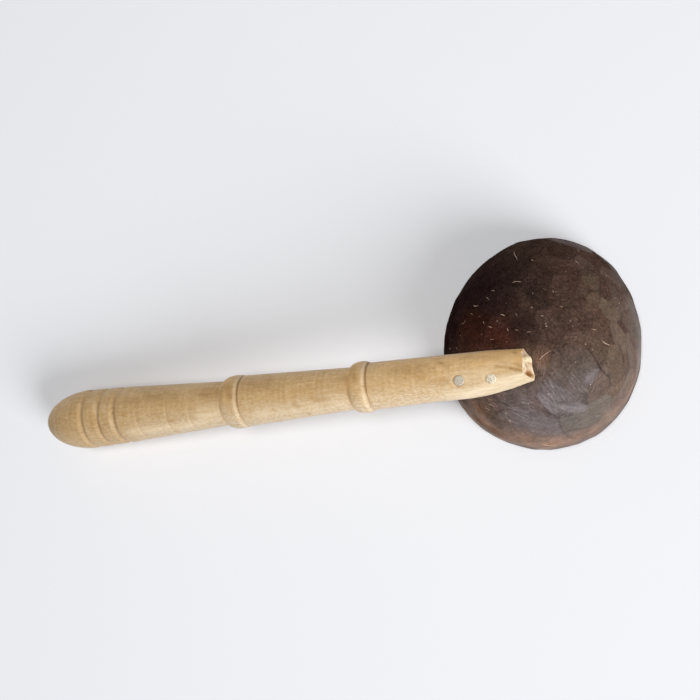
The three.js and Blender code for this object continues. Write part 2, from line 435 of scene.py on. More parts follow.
# Knife cuts: the stroke's middle and end in pixels, half length, half width and depth in mm, tint
knifeCuts = {
    "seen": [
        ((573, 373), (585, 387), 14, 12, 0.90, "grey"),
        ((559, 391), (568, 403), 9, 9, 0.58, "lilac"),
        ((588, 379), (597, 371), 6.5, 4.5, 0.74, "lilac"),
        ((600, 387), (606, 376), 9, 6.5, 0.62, "rose"),
        ((601, 406), (616, 398), 9, 6, 0.55, "green"),
        ((572, 407.5), (589, 409), 9, 3.4, 0.62, "bloom"),
        ((615, 386), (618, 374), 7, 5, 0.50, "tan"),
        ((629, 384), (624, 396), 9, 5, 0.50, "rose"),
        ((578, 424), (598, 418), 12, 7, 0.55, "green"),
        ((546, 428), (564, 429), 11, 7, 0.52, "lilac"),
        ((538, 405), (549, 413), 8, 4, 0.50, "plain"),
        ((547, 403), (555, 412), 8, 3.4, 0.64, "bloom"),
        ((514, 399), (530, 400), 10, 7, 0.55, "grey"),
        ((515, 420), (530, 428), 10, 6.5, 0.50, "lilac"),
        ((482, 404), (492, 410), 8, 6, 0.40, "rose"),
        ((566, 290), (586, 290), 13, 10, 0.85, "brown"),
        ((540, 285), (541, 300), 13, 8, 0.70, "dark"),
        ((574, 319), (586, 329), 9, 7.5, 0.60, "brown"),
        ((581, 339), (592, 339), 8, 5, 0.56, "plain"),
        ((601, 331), (610, 343), 9, 6.5, 0.55, "plain"),
        ((620, 336), (626, 352), 9, 5, 0.50, "tan"),
        ((632, 350), (634, 366), 11, 4, 0.45, "tan"),
        ((616, 360), (620, 372), 8, 5, 0.45, "tan"),
        ((591, 297.5), (600, 300.5), 6, 3.4, 0.40, "tan"),
        ((591, 283), (599, 286), 6, 5, 0.40, "olive"),
        ((605, 288), (607, 298), 7, 4, 0.40, "brown"),
        ((617, 290), (624, 300), 9, 5, 0.45, "plain"),
        ((612, 311), (622, 321), 9, 5, 0.45, "tan"),
        ((592, 312), (602, 316), 7, 5, 0.42, "brown"),
        ((558, 251), (574, 254), 10, 6, 0.50, "brown"),
        ((588, 256), (600, 264), 9, 6, 0.45, "brown"),
        ((562, 268), (578, 268), 9, 5, 0.42, "red"),
        ((512, 268), (522, 282), 13, 9, 0.60, "dark"),
        ((480, 292), (474, 304), 13, 8, 0.60, "dark"),
        ((500, 300), (512, 302), 12, 8, 0.55, "dark"),
        ((524, 330), (540, 330), 11, 7, 0.52, "dark"),
        ((500, 332), (516, 334), 11, 7, 0.48, "red"),
        ((472, 324), (482, 328), 12, 8, 0.50, "red"),
        ((548, 325), (556, 336), 9, 7, 0.52, "plain"),
        ((556, 312), (570, 311), 7, 4, 0.40, "brown"),
        ((488, 264), (478, 278), 11, 7, 0.50, "dark"),
        ((455, 326), (452, 340), 10, 6, 0.45, "dark"),
    ],
    "hold": {"dark": 0.2, "red": 0.15, "lilac": 0.3, "bloom": 0.4, "grey": 0.35},
    "usualHold": 0.55,
    "scattered": 150,
    "seed": 23,
    "halfLength": (8, 13),
    "halfWidth": (4.5, 7.5),
    "depth": (0.2, 0.42),
    "tone": (0.78, 1.28),
    "clear": 0.12 * mm,
    "ridge": 0.045 * mm,
    "softEdge": 0.012 * mm,
    "softTint": 0.026 * mm,
    "goldenTurn": np.radians(137.508),
    "stray": 0.1,
    "apart": 0.037,
}


def makeCuts(settings):
    # Seen cuts lie where their pixels meet the dome, the rest wind round it in a golden spiral
    rng = np.random.default_rng(settings["seed"])
    seen = settings["seen"]
    order = (np.arange(settings["scattered"]) + 0.5) / settings["scattered"]
    stray = rng.normal(0, settings["stray"], len(order))
    angle = np.arange(len(order)) * settings["goldenTurn"] + stray
    spiral = domePoint(angle, np.arcsin(1 - order))
    stroke = np.cross(domeNormal(spiral), rng.normal(size=spiral.shape))
    ranges = (settings["halfLength"], settings["halfWidth"], settings["depth"])
    drawn = np.stack([rng.uniform(*limits, len(order)) for limits in ranges], axis=-1)
    placed = orientCuts(onShell([cut[0] for cut in seen]), onShell([cut[1] for cut in seen]),
                        np.array([cut[2:5] for cut in seen]) * mm)
    placed["tint"] = np.array([shellTints[cut[5]] for cut in seen])
    free = scrape(spiral, placed)[0] < settings["clear"]
    loose = orientCuts(spiral[free], (spiral + stroke)[free], drawn[free] * mm)
    loose["tint"] = np.tile(shellTints["plain"], (free.sum(), 1))
    # A last cut of no depth stands for the unscraped ground between them
    ground = orientCuts(shellMiddle[None], shellMiddle[None] + (1, 0, 0), np.array([[1, 1, 0]]) * mm)
    ground["tint"] = np.array([shellTints["plain"]])
    joined = {key: np.concatenate([placed[key], loose[key], ground[key]]) for key in placed}
    count = len(joined["depth"])
    joined["hold"] = np.zeros(count)
    joined["hold"][:len(seen)] = [settings["hold"].get(cut[5], settings["usualHold"]) for cut in seen]
    joined["tone"] = rng.uniform(*settings["tone"], count)
    return joined


def orientCuts(middles, ends, sizes):
    # Each cut's own frame: out of the shell, across the stroke and along it
    normals = domeNormal(middles)
    across = unit(np.cross(normals, ends - middles))
    return {
        "middle": middles,
        "normal": normals,
        "across": across,
        "along": np.cross(across, normals),
        "halfLength": sizes[:, 0],
        "halfWidth": sizes[:, 1],
        "depth": sizes[:, 2],
    }


def cutDepths(points, cuts):
    # One cut after the other: a trough, deepest at its middle, and far below zero behind the shell
    for k in range(len(cuts["depth"])):
        away = points - cuts["middle"][k]
        along = away @ cuts["along"][k] / cuts["halfLength"][k]
        across = away @ cuts["across"][k] / cuts["halfWidth"][k]
        depth = cuts["depth"][k] * (1 - along ** 2 - across ** 2)
        yield np.where(away @ cuts["normal"][k] < -cuts["halfLength"][k], -1.0, depth)


def scrape(points, cuts):
    # At every point the deepest cut counts: its depth, the second depth and which cut it is
    deepest = np.zeros(len(points))
    second = np.zeros(len(points))
    owner = np.full(len(points), -1)
    for k, depth in enumerate(cutDepths(points, cuts)):
        owner[depth > deepest] = k
        second = np.maximum(second, np.minimum(deepest, depth))
        deepest = np.maximum(deepest, depth)
    return deepest, second, owner


def softDepth(points, cuts):
    # Soft maximum of the cuts' depths: the logarithm of the sum of their powers of e
    soft = knifeCuts["softEdge"]
    powers = sum(np.exp(depth / soft) for depth in cutDepths(points, cuts))
    return soft * np.log(powers)


def runTogether(points, cuts, values):
    # Mean of the cuts' values, each weighted by a power of e of its depth
    total = np.zeros((len(points), 1))
    mixed = np.zeros((len(points), values.shape[1]))
    for depth, value in zip(cutDepths(points, cuts), values):
        weight = np.exp(depth / knifeCuts["softTint"])[:, None]
        total += weight
        mixed += weight * value
    return mixed / total


cuts = makeCuts(knifeCuts)


def scrapedPoint(angle, rise):
    # The dome less the depth of its cuts and a faint weave
    points = domePoint(angle, rise)
    flat = points.reshape(-1, 3)
    wave = ripple(flat, shellForm["weaveLength"], shellForm["weaveSeed"])
    weave = shellForm["weave"] * (1 + wave) / 2
    depth = softDepth(flat, cuts) + weave + shellForm["skin"]
    return (flat - domeNormal(flat) * depth[:, None]).reshape(points.shape)


def shellGrid(form):
    # Rings from the inside's pole down to the rim, across it and up the outside to the crown
    angle = evenTurns(form["columns"])
    innerRise = np.linspace(np.pi / 2, 0, form["innerRows"] + 1)[1:]
    outerRise = np.linspace(0, np.pi / 2, form["outerRows"] + 1)[:-1]
    inner = domePoint(angle[None], innerRise[:, None], form["wall"])
    wave = form["innerWave"] * ripple(inner, form["innerWaveLength"], form["innerWaveSeed"])
    inner[:-1] += (unit(inner - shellMiddle) * wave[..., None])[:-1]
    outer = scrapedPoint(*np.broadcast_arrays(angle[None], outerRise[:, None]))
    lift = np.clip(1 - (outer[..., 2] / form["rimRound"]), 0, 1)
    inward = unit((shellMiddle - outer) * (1, 1, 0))
    outer += inward * (form["rimRound"] * (1 - np.sqrt(1 - lift ** 2)))[..., None]
    share = np.linspace(0, 1, form["rimRows"] + 2)[1:-1]
    rim = inner[-1] + (outer[0] - inner[-1]) * share[:, None, None]
    return inner, rim, outer


def strokeMap(points, faces, owner):
    # Corner coordinates along and across the stroke of the cut that owns the face
    corners = points[faces]
    away = corners - cuts["middle"][owner][:, None]
    along = np.einsum("fcx,fx->fc", away, cuts["along"][owner])
    across = np.einsum("fcx,fx->fc", away, cuts["across"][owner])
    apart = owner[:, None] * knifeCuts["apart"]
    return np.stack([along + apart, across + apart], axis=-1).reshape(-1, 2)


# Stains and painted light, one over the other: pixel at the middle, spread in millimetres, strength and
# tint
stainsAndPaintedLight = [
    ((600, 330), 30, 0.55, "tan"),
    ((560, 425), 26, 0.60, "lilac"),
    ((563, 394), 10, 0.42, "lilac"),
    ((590, 376), 5, 0.60, "lilac"),
    ((518, 408), 11, 0.50, "lilac"),
    ((548, 406), 4.5, 0.25, "bloom"),
    ((572, 407), 4.5, 0.40, "bloom"),
    ((582, 419), 8, 0.45, "green"),
    ((530, 416), 7, 0.40, "lilac"),
    ((600, 318), 7, 0.45, "brown"),
    ((540, 252), 9, 0.60, "brown"),
    ((536, 242), 6, 0.40, "dark"),
    ((556, 424), 14, 0.25, "bloom"),
    ((560, 262), 20, 0.45, "brown"),
    ((546, 332), 9, 0.55, "brown"),
    ((525, 300), 17, 0.42, "dark"),
    ((560, 290), 10, 0.22, "dark"),
    ((562, 326), 12, 0.14, "dark"),
    ((476, 290), 20, 1.00, "dark"),
    ((452, 326), 17, 1.00, "dark"),
    ((453, 300), 12, 0.95, "dark"),
    ((472, 272), 9, 0.90, "dark"),
    ((492, 257), 8, 0.50, "dark"),
    ((447, 338), 11, 0.95, "dark"),
    ((474, 334), 13, 0.80, "red"),
    ((502, 340), 10, 0.80, "red"),
    ((520, 323), 7, 0.65, "dark"),
    ((490, 302), 8, 0.78, "dark"),
    ((500, 418), 6, 0.40, "rose"),
    ((480, 411), 7, 0.55, "rose"),
    ((479, 408), 7, 0.40, "rust"),
    ((496, 404), 5, 0.35, "brown"),
    ((543, 363), 6, 0.30, "rust"),
    ((617, 388), 5, 0.40, "rust"),
    # Along the lower and right rim the rust and buff are partly the rim's colour and partly painted light
    # where the rim faces the light
    ((464, 409), 6, 0.85, "rust"),
    ((473, 420), 6, 0.70, "rust"),
    ((486, 425), 6, 0.75, "rust"),
    ((502, 438), 7, 1.00, "rust"),
    ((524, 442), 9, 0.95, "rust"),
    ((550, 446), 9, 0.92, "rust"),
    ((574, 442), 8, 0.70, "rust"),
    ((596, 430), 7, 0.60, "rust"),
    ((616, 412), 7, 0.42, "rust"),
    ((632, 388), 7, 0.62, "rust"),
    ((630, 352), 9, 0.06, "rust"),
    ((607, 334), 3, 0.35, "rose"),
    ((634, 311), 6, 0.30, "buff"),
    ((638, 327), 6, 0.24, "buff"),
    ((641, 344), 6, 0.50, "buff"),
    ((640, 361), 6, 0.45, "buff"),
    ((631, 328), 4, 0.20, "buff"),
    ((622, 390), 4, 0.25, "buff"),
    ((604, 417), 5, 0.60, "buff"),
]


def shellTint(points):
    # Plain shell, then the stains with their painted sheen and rim light, then a share of the tints of
    # the cuts, some of them painted sheen, at each point
    colour = np.tile(shellTints["plain"], (len(points), 1))
    for pixel, size, strength, name in stainsAndPaintedLight:
        share = (strength * shellSpot(points, pixel, size))[:, None]
        colour = colour + share * (np.array(shellTints[name]) - colour)
    values = np.column_stack([cuts["tone"], cuts["hold"], cuts["tint"]])
    mixed = runTogether(points, cuts, values)
    colour = colour * mixed[:, :1]
    return colour + mixed[:, 1:2] * (mixed[:, 2:] - colour)


# Lines on the shell: pixels of both ends, spread in millimetres and strength
shellLines = {
    "score": [
        (551, 353.5, 560, 350, 0.50, 1.00), (560, 350, 566.5, 343.5, 0.50, 1.00),
        (578, 344, 586, 347, 0.30, 0.35), (586, 347, 592, 352.5, 0.40, 0.75),
        (592, 352.5, 597, 362, 0.40, 0.75), (598, 364, 602, 370.5, 0.50, 1.00),
        (602, 370.5, 610, 377.5, 0.50, 1.00), (610, 377.5, 610.5, 388, 0.40, 0.85),
        (610.5, 388, 613.5, 399, 0.40, 0.75), (613, 325, 616.5, 340, 0.40, 0.85),
        (616.5, 340, 623, 352.5, 0.40, 0.85), (633, 330, 636.5, 345, 0.35, 0.65),
        (585, 403.5, 590, 404.5, 0.40, 0.70), (598.5, 371.5, 585, 402, 0.35, 0.40),
        (535, 409, 545, 412.5, 0.50, 0.60), (545, 412.5, 554, 415, 0.40, 0.50),
        (584, 291.5, 599, 291, 0.45, 0.60), (577, 272, 590, 266.5, 0.45, 0.55),
        (603, 302, 614, 313, 0.35, 0.45), (551, 268, 552, 300, 0.45, 0.45),
        (601, 279, 600.5, 297, 0.40, 0.40), (521, 321, 528, 325, 0.45, 0.50),
        (596, 316, 608, 327, 0.35, 0.45), (626, 352, 634, 330, 0.35, 0.35),
    ],
    "graze": [
        (554, 350, 569, 364.5, 0.28, 0.40), (585, 376, 590.5, 384, 0.28, 0.60),
        (583, 371.5, 599, 369.5, 0.30, 0.55), (541, 384, 548.5, 397, 0.30, 0.45),
        (549, 381, 557, 393, 0.28, 0.40), (556, 406, 588, 408.5, 0.35, 0.25),
        (540, 399, 553, 410, 0.45, 0.22), (561, 348.5, 567, 357, 0.25, 0.35),
        (571, 384, 579, 397, 0.28, 0.35),
    ],
}


# Finish: places that the knife scratched most and that shine least, pixel and spread in millimetres,
# and how light the tint is where the shine begins and where it is full
shellFinish = {
    "scratched": [
        ((568, 388), 13), ((522, 412), 9), ((582, 318), 7), ((548, 330), 8),
        ((622, 296), 8)],
    "dull": [
        ((464, 409), 10), ((482, 410), 9), ((478, 421), 9), ((494, 432), 8),
        ((606, 268), 10), ((568, 247), 9)],
    "lightness": (0.2126, 0.7152, 0.0722),
    "shineFrom": 0.056,
    "shineFull": 0.108,
}


def makeShell(form, materials):
    inner, rim, outer = shellGrid(form)
    grid = np.concatenate([inner, rim, outer])
    rows, columns = grid.shape[:2]
    innerPole = domePoint(0.0, np.pi / 2, form["wall"])
    outerPole = scrapedPoint(np.zeros(1), np.full(1, np.pi / 2))
    points = ringPoints(grid, innerPole, outerPole)
    faces = outwardFaces(points, ringFaces(rows, columns))
    piece = newPiece("coconut_shell", points, faces, materials)
    quads = (rows - 1) * columns
    rowOf = np.arange(quads) // columns
    part = np.where(rowOf < len(inner) - 1, 1, np.where(rowOf < len(inner) + len(rim), 2, 0))
    part = np.concatenate([part, np.full(columns, 1), np.full(columns, 0)])
    piece.data.polygons.foreach_set("material_index", part.astype(np.int32))
    squares, fans = np.array(faces[:quads]), np.array(faces[quads:])
    uv = np.vstack([
        strokeMap(points, side, scrape(points[side].mean(axis=1), cuts)[2]) for side in (squares, fans)])
    piece.data.uv_layers.new(name="stroke").data.foreach_set("uv", uv.astype(np.float32).ravel())
    deepest, second = scrape(points, cuts)[:2]
    pointValues(piece, "ridge", np.exp(-(deepest - second) / knifeCuts["ridge"]) * (deepest > 0))
    tint = shellTint(points)
    colourValues(piece, "tint", tint)
    # Pale facets are polished, dark ones and the dull places aren't
    finish = shellFinish
    above = tint @ finish["lightness"] - finish["shineFrom"]
    light = np.clip(above / (finish["shineFull"] - finish["shineFrom"]), 0, 1)
    pointValues(piece, "polish", light * (1 - shellSpots(points, finish["dull"])))
    pointValues(piece, "scratched", shellSpots(points, finish["scratched"]))
    for name, lines in shellLines.items():
        pointValues(piece, name, markValues(points, lines, onShell))
    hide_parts("shell_bowl")
    return piece


scrapedShell = {
    "ridge": (0.030, 0.018, 0.013),
    "olive": (0.120, 0.096, 0.060),
    "russet": (0.110, 0.052, 0.038),
    "scratch": (0.390, 0.350, 0.345),
    "fleck": (0.480, 0.360, 0.270),
    "shine": 0.34,
    "roughness": (0.41, 0.57),
    "speckles": {
        "cloud": {"scale": (130, 130, 130), "detail": 6, "roughness": 0.65},
        "hue": {"scale": (210, 210, 210), "turn": (0.4, 0.9, 0.2), "detail": 6, "roughness": 0.7},
        "fine": {"scale": (900, 900, 900), "detail": 4, "roughness": 0.7},
        "patch": {"scale": (60, 60, 60), "detail": 2},
    },
    "streaks": {
        "broad": {"scale": (120, 820, 1), "detail": 4, "roughness": 0.7},
        "streak": {"scale": (260, 2100, 1), "detail": 3, "roughness": 0.65},
        "hatch": {"scale": (130, 1200, 1), "detail": 2, "roughness": 0.5},
    },
    "cells": (400, 400, 400),
}


def scrapedShellMaterial(look):
    material, tree, shader = newMaterial("scraped_shell")
    tint = attribute(tree, "tint", "Color")
    light = addNode(tree, "ShaderNodeRGBToBW", links={"Color": tint}).outputs["Val"]
    cloud, hue, fine, patch = speckles(tree, look["speckles"])
    broad, streak, hatch = (strokeSpeckle(tree, **settings) for settings in look["streaks"].values())
    # Darker and paler clouds, with olive and russet ones where the shell isn't near black
    colour = shade(tree, tint, spread(tree, cloud, 0.25, 0.75, 0.68, 1.32))
    mild = spread(tree, light, 0.015, 0.06)
    olive = times(tree, spread(tree, hue, 0.52, 0.72, 0, 0.36), mild)
    russet = times(tree, spread(tree, hue, 0.48, 0.28, 0, 0.45), mild)
    colour = blend(tree, olive, colour, look["olive"])
    colour = blend(tree, russet, colour, look["russet"])
    # Grit, strongest on dark shell, and streaks along the strokes
    strong = spread(tree, light, 0.03, 0.11, 1.25, 0.7)
    grit = times(tree, spread(tree, fine, 0.28, 0.72, -0.55, 0.55), strong)
    colour = shade(tree, colour, reckon(tree, "ADD", grit, 1.0))
    colour = shade(tree, colour, spread(tree, broad, 0.3, 0.7, 0.88, 1.12))
    colour = shade(tree, colour, spread(tree, streak, 0.3, 0.7, 0.82, 1.18))
    edge = times(tree, attribute(tree, "ridge"), spread(tree, patch, 0.42, 0.58, 0, 0.6))
    colour = blend(tree, edge, colour, look["ridge"])
    colour = blend(tree, attribute(tree, "score"), colour, look["ridge"])
    # Light scratches along the strokes, most on the paler facets
    long = times(tree, spread(tree, hatch, 0.54, 0.66), spread(tree, cloud, 0.38, 0.58, 0.12, 0.5))
    often = spread(tree, attribute(tree, "scratched"), 0.1, 0.8, 0.1, 1.0)
    thin = times(tree, spread(tree, streak, 0.60, 0.72), spread(tree, cloud, 0.42, 0.60))
    scratch = reckon(tree, "MAXIMUM", times(tree, long, often), times(tree, thin, 0.9))
    clean = spread(tree, light, 0.055, 0.105, 0.12, 1.0)
    colour = blend(tree, times(tree, scratch, clean), colour, look["scratch"])
    colour = blend(tree, attribute(tree, "graze"), colour, look["scratch"])
    # Pale flecks in a few cells of a random pattern
    cells = addNode(tree, "ShaderNodeTexVoronoi", values={"Scale": 1.0, "Randomness": 1.0},
                    links={"Vector": objectPlace(tree, look["cells"])})
    chosen = addNode(tree, "ShaderNodeSeparateColor", links={"Color": cells.outputs["Color"]})
    dot = spread(tree, cells.outputs["Distance"], 0.15, 0.06)
    rare = spread(tree, chosen.outputs["Red"], 0.88, 0.98)
    colour = blend(tree, times(tree, dot, rare), colour, look["fleck"])
    normal = relief(tree, broad, 0.2, 0.2 * mm)
    normal = relief(tree, streak, 0.35, 0.1 * mm, normal)
    feed(tree, shader, {
        "Base Color": colour,
        "Roughness": spread(tree, fine, 0.2, 0.8, *look["roughness"]),
        "Specular IOR Level": spread(tree, attribute(tree, "polish"), 0, 1, 0, look["shine"]),
        "Normal": relief(tree, fine, 0.4, 0.15 * mm, normal),
    })
    return material


shellInside = {
    "dark": (0.085, 0.040, 0.022),
    "light": (0.200, 0.105, 0.058),
    "vein": (0.050, 0.024, 0.014),
    "roughness": (0.5, 0.65),
    "speckles": {
        "cloud": {"scale": (60, 60, 90), "detail": 5},
        "vein": {"scale": (260, 260, 45), "detail": 4, "roughness": 0.6, "distortion": 0.4},
    },
}


def shellInsideMaterial(look):
    material, tree, shader = newMaterial("shell_inside")
    cloud, vein = speckles(tree, look["speckles"])
    colour = blend(tree, spread(tree, cloud, 0.3, 0.72), look["dark"], look["light"])
    feed(tree, shader, {
        "Base Color": blend(tree, spread(tree, vein, 0.55, 0.75, 0, 0.8), colour, look["vein"]),
        "Roughness": spread(tree, vein, 0.3, 0.7, *look["roughness"]),
        "Normal": relief(tree, vein, 0.35, 0.2 * mm),
    })
    return material


sawnRim = {
    "dark": (0.075, 0.040, 0.024),
    "light": (0.260, 0.155, 0.085),
    "roughness": 0.75,
    "speckles": {
        "grit": {"scale": (900, 900, 900), "detail": 5, "roughness": 0.7},
        "saw": {"scale": (120, 1800, 400), "detail": 2},
    },
}


def sawnRimMaterial(look):
    material, tree, shader = newMaterial("sawn_rim")
    grit, saw = speckles(tree, look["speckles"])
    mix = times(tree, spread(tree, grit, 0.3, 0.7), spread(tree, saw, 0.25, 0.7, 0.4, 1))
    feed(tree, shader, {
        "Base Color": blend(tree, mix, look["dark"], look["light"]),
        "Roughness": look["roughness"],
        "Normal": relief(tree, grit, 0.5, 0.25 * mm),
    })
    return material


shellMaterials = [
    scrapedShellMaterial(scrapedShell), shellInsideMaterial(shellInside), sawnRimMaterial(sawnRim)]
shell = makeShell(shellForm, shellMaterials)
print("shell scraped with", len(cuts["depth"]), "cuts,", len(shell.data.polygons), "faces")


# Handle: a turned stick, measured along from the butt, seated on the shell and whittled at the tip

handleForm = {
    "slope": np.arcsin(0.1426),
    "buttLength": 25.5 * mm,
    "buttRadius": 14.45 * mm,
    "grooves": np.array([27.7, 36.7, 45.7]) * mm,
    "grooveWidth": 4.2 * mm,
    "grooveDepth": 0.85 * mm,
    "scribes": np.array([58.5, 74.2, 85.7]) * mm,
    "scribeWidth": 1.0 * mm,
    "scribeDepth": 0.08 * mm,
    "scribeSide": (0.5, -0.2),
    "gripStart": 47.2 * mm,
    "gripThick": 13.6 * mm,
    "gripThin": 10.3 * mm,
    "firstBead": {"start": 102.6 * mm, "rise": 4.9 * mm, "crest": 1.4 * mm, "peak": 12.5 * mm},
    "middleThick": 11.9 * mm,
    "middleThin": 9.5 * mm,
    "secondBead": {"start": 166.0 * mm, "rise": 4.4 * mm, "crest": 0.8 * mm, "peak": 11.6 * mm},
    "beadFall": 3.2 * mm,
    "beadRound": 0.44,
    "beadToe": (-0.06, 0.12),
    "beadCutWidth": 0.6 * mm,
    "beadCutDepth": 0.6 * mm,
    "seatThick": 10.6 * mm,
    "tipRadius": 8.99 * mm,
    "length": 247.0 * mm,
    "seatGap": 0.05 * mm,
    "coreFrom": 215 * mm,
    "coreTo": 250 * mm,
    "coreRise": 5.7 * mm,
    "whittles": [
        {"tip": 5.1 * mm, "lean": np.radians(23), "taper": np.radians(10.2)},
        {"tip": 6.3 * mm, "lean": np.radians(-18), "taper": np.radians(9.6)},
    ],
    "whittleWave": 0.12 * mm,
    "whittleWaveLength": 4.2 * mm,
    "whittleTwist": 11 * mm,
    "whittleSoft": 1.0 * mm,
    "freshSoft": 3.5 * mm,
    "leastFacing": 0.02,
    "bulge": 0.5 * mm,
    "bulgeFrom": 200 * mm,
    "bulgeTo": 220 * mm,
    "workedFrom": 208 * mm,
    "endTurn": np.radians(0.5),
    "endLean": np.radians(22),
    "endStretch": 13 * mm,
    "columns": 168,
    "coarse": 0.9 * mm,
    "fine": 0.25 * mm,
    "buttRows": 36,
    "endRows": 40,
    "capRows": 22,
    "sightReach": 120 * mm,
}


def beadEnd(bead):
    form = handleForm
    return bead["start"] + bead["rise"] + bead["crest"] + form["beadFall"] + form["beadCutWidth"]


def addBead(radius, along, bead, before, after):
    # A quarter ellipse up, a flat crest, a quarter ellipse down and a fine cut, laid over the tapers
    form = handleForm
    valley = after - form["beadCutDepth"]
    reach = along - bead["start"]
    climb = np.clip(reach / bead["rise"], 0, 1)
    sweep = (1 - (1 - climb) ** 2) ** form["beadRound"] * ease(*form["beadToe"], climb)
    fall = np.clip((reach - bead["rise"] - bead["crest"]) / form["beadFall"], 0, 1)
    cut = np.clip((along - beadEnd(bead)) / form["beadCutWidth"] + 1, 0, 1)
    shape = np.where(fall > 0, valley + (bead["peak"] - valley) * np.sqrt(1 - fall ** 2),
                     before + (bead["peak"] - before) * sweep)
    shape = np.where(cut > 0, valley + (after - valley) * cut, shape)
    return np.where((reach > 0) & (along < beadEnd(bead)), shape, radius)


def dips(along, stations, width):
    # A cosine wave's dip at each station, 1 at its middle and 0 beyond its width
    reach = [np.clip(np.abs(along - station) / (width / 2), 0, 1) for station in stations]
    return sum((1 + np.cos(np.pi * share)) / 2 for share in reach)


def turnedRadius(along):
    # Straight tapers between the butt's ellipse, the beads and the tip, less the grooves
    form = handleForm
    first, second = form["firstBead"], form["secondBead"]
    knots = [form["buttLength"], form["gripStart"], first["start"], beadEnd(first),
             second["start"], beadEnd(second), form["length"]]
    sizes = [form["buttRadius"], form["gripThick"], form["gripThin"], form["middleThick"],
             form["middleThin"], form["seatThick"], form["tipRadius"]]
    radius = np.interp(along, knots, sizes)
    ahead = np.clip(1 - along / form["buttLength"], 0, 1)
    radius = radius * np.sqrt(1 - ahead ** 2)
    radius = addBead(radius, along, first, form["gripThin"], form["middleThick"])
    radius = addBead(radius, along, second, form["middleThin"], form["seatThick"])
    return radius - form["grooveDepth"] * dips(along, form["grooves"], form["grooveWidth"])


def findHandlePlacing(form):
    # The butt's ellipse, tilted by the slope, touches the table and the node's low X face
    low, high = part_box("handle")
    ahead = np.array([np.cos(form["slope"]), 0, np.sin(form["slope"])])
    upward = np.array([-np.sin(form["slope"]), 0, np.cos(form["slope"])])
    long, short = form["buttLength"], form["buttRadius"]
    centre = np.array([
        low.x + np.hypot(long * ahead[0], short * ahead[2]),
        (low.y + high.y) / 2,
        np.hypot(long * ahead[2], short * ahead[0])])
    return centre - long * ahead, ahead, upward


buttEnd, handleAhead, handleUp = findHandlePlacing(handleForm)
handleSide = np.array([0.0, 1.0, 0.0])


def fromHandle(along, side, height):
    # Handle coordinates to the part's frame
    along, side, height = (np.asarray(value, float)[..., None] for value in (along, side, height))
    return buttEnd + along * handleAhead + side * handleSide + height * handleUp


def whittlePlane(whittle):
    # Normal and distance of a knife's flat in handle coordinates
    tip, lean, taper = whittle["tip"], whittle["lean"], whittle["taper"]
    normal = np.array([np.cos(lean) * np.sin(taper), -np.cos(lean) * np.cos(taper), np.sin(lean)])
    foot = np.array([handleForm["length"], -tip * np.cos(lean), tip * np.sin(lean)])
    return normal, normal @ foot


def coreHeight(along):
    # Height of the line that the handle's rings are measured from, lifted clear of the shell near the tip
    return handleForm["coreRise"] * ease(handleForm["coreFrom"], handleForm["coreTo"], along)


def handleRing(along, angle):
    # The nearest of the turned surface, the knife's flats and the shell, going out from the core line
    form = handleForm
    core = coreHeight(along)
    side, rise = np.cos(angle), np.sin(angle)
    swell = form["bulge"] * ease(form["bulgeFrom"], form["bulgeTo"], along) * np.maximum(-side, 0) ** 2
    scribe = form["scribeDepth"] * dips(along, form["scribes"], form["scribeWidth"])
    radius = turnedRadius(along) + swell - scribe * ease(*form["scribeSide"], side)
    cut = -core * rise + np.sqrt(np.maximum(radius ** 2 - (core * side) ** 2, 0))
    fresh = np.zeros_like(cut)
    wave = np.sin(along / form["whittleWaveLength"]) * np.sin(angle * 3 + along / form["whittleTwist"])
    wave = form["whittleWave"] * wave
    for whittle in form["whittles"]:
        normal, distance = whittlePlane(whittle)
        facing = np.maximum(normal[1] * side + normal[2] * rise, form["leastFacing"])
        flat = (distance + wave - normal[0] * along - normal[2] * core) / facing
        fresh = np.maximum(fresh, ease(-form["freshSoft"], form["freshSoft"], cut - flat))
        share = np.clip(0.5 + (flat - cut) / (2 * form["whittleSoft"]), 0, 1)
        cut = np.maximum(flat + (cut - flat) * share - form["whittleSoft"] * share * (1 - share), 0)

    def inShell(out):
        return domeShare(fromHandle(along, out * side, core + out * rise), -form["seatGap"]) < 1

    overShell = inShell(cut)
    out = np.where(overShell, halve(inShell, np.zeros_like(cut), cut), cut)
    return out * side, core + out * rise, fresh * ~overShell


tornEnd = {
    "hollowSide": -2.75 * mm,
    "hollowHeight": 3.8 * mm,
    "hollowSpread": 1.6 * mm,
    "hollowSquash": 0.8,
    "hollowDepth": 1.1 * mm,
    "hollowDark": 1.3,
    "hollowPower": 0.7,
    "shadeSide": 6.3 * mm,
    "shadeHeight": 5.0 * mm,
    "shadeSpread": 2.6 * mm,
    "shadeDark": 0.5,
    "tearDepth": 0.45 * mm,
    "tearLength": 2.6 * mm,
    "tearStretch": 0.5,
    "tearFade": 6,
    "tearSeed": 31,
    "ragged": 0.9 * mm,
    "raggedLength": 5.5 * mm,
    "raggedBias": 0.6,
    "raggedHeights": (1 * mm, 5 * mm),
    "raggedSeed": 12,
    "splinter": 0.8 * mm,
    "splinterSide": 3.2 * mm,
    "splinterSpread": 1.8 * mm,
    "splinterHeights": (7 * mm, 2 * mm),
    "farCorner": 4.5 * mm,
    "farCut": 0.5,
    "nearCorner": -3.4 * mm,
    "nearCut": 0.4,
    "capFade": (1.0, 0.8),
}


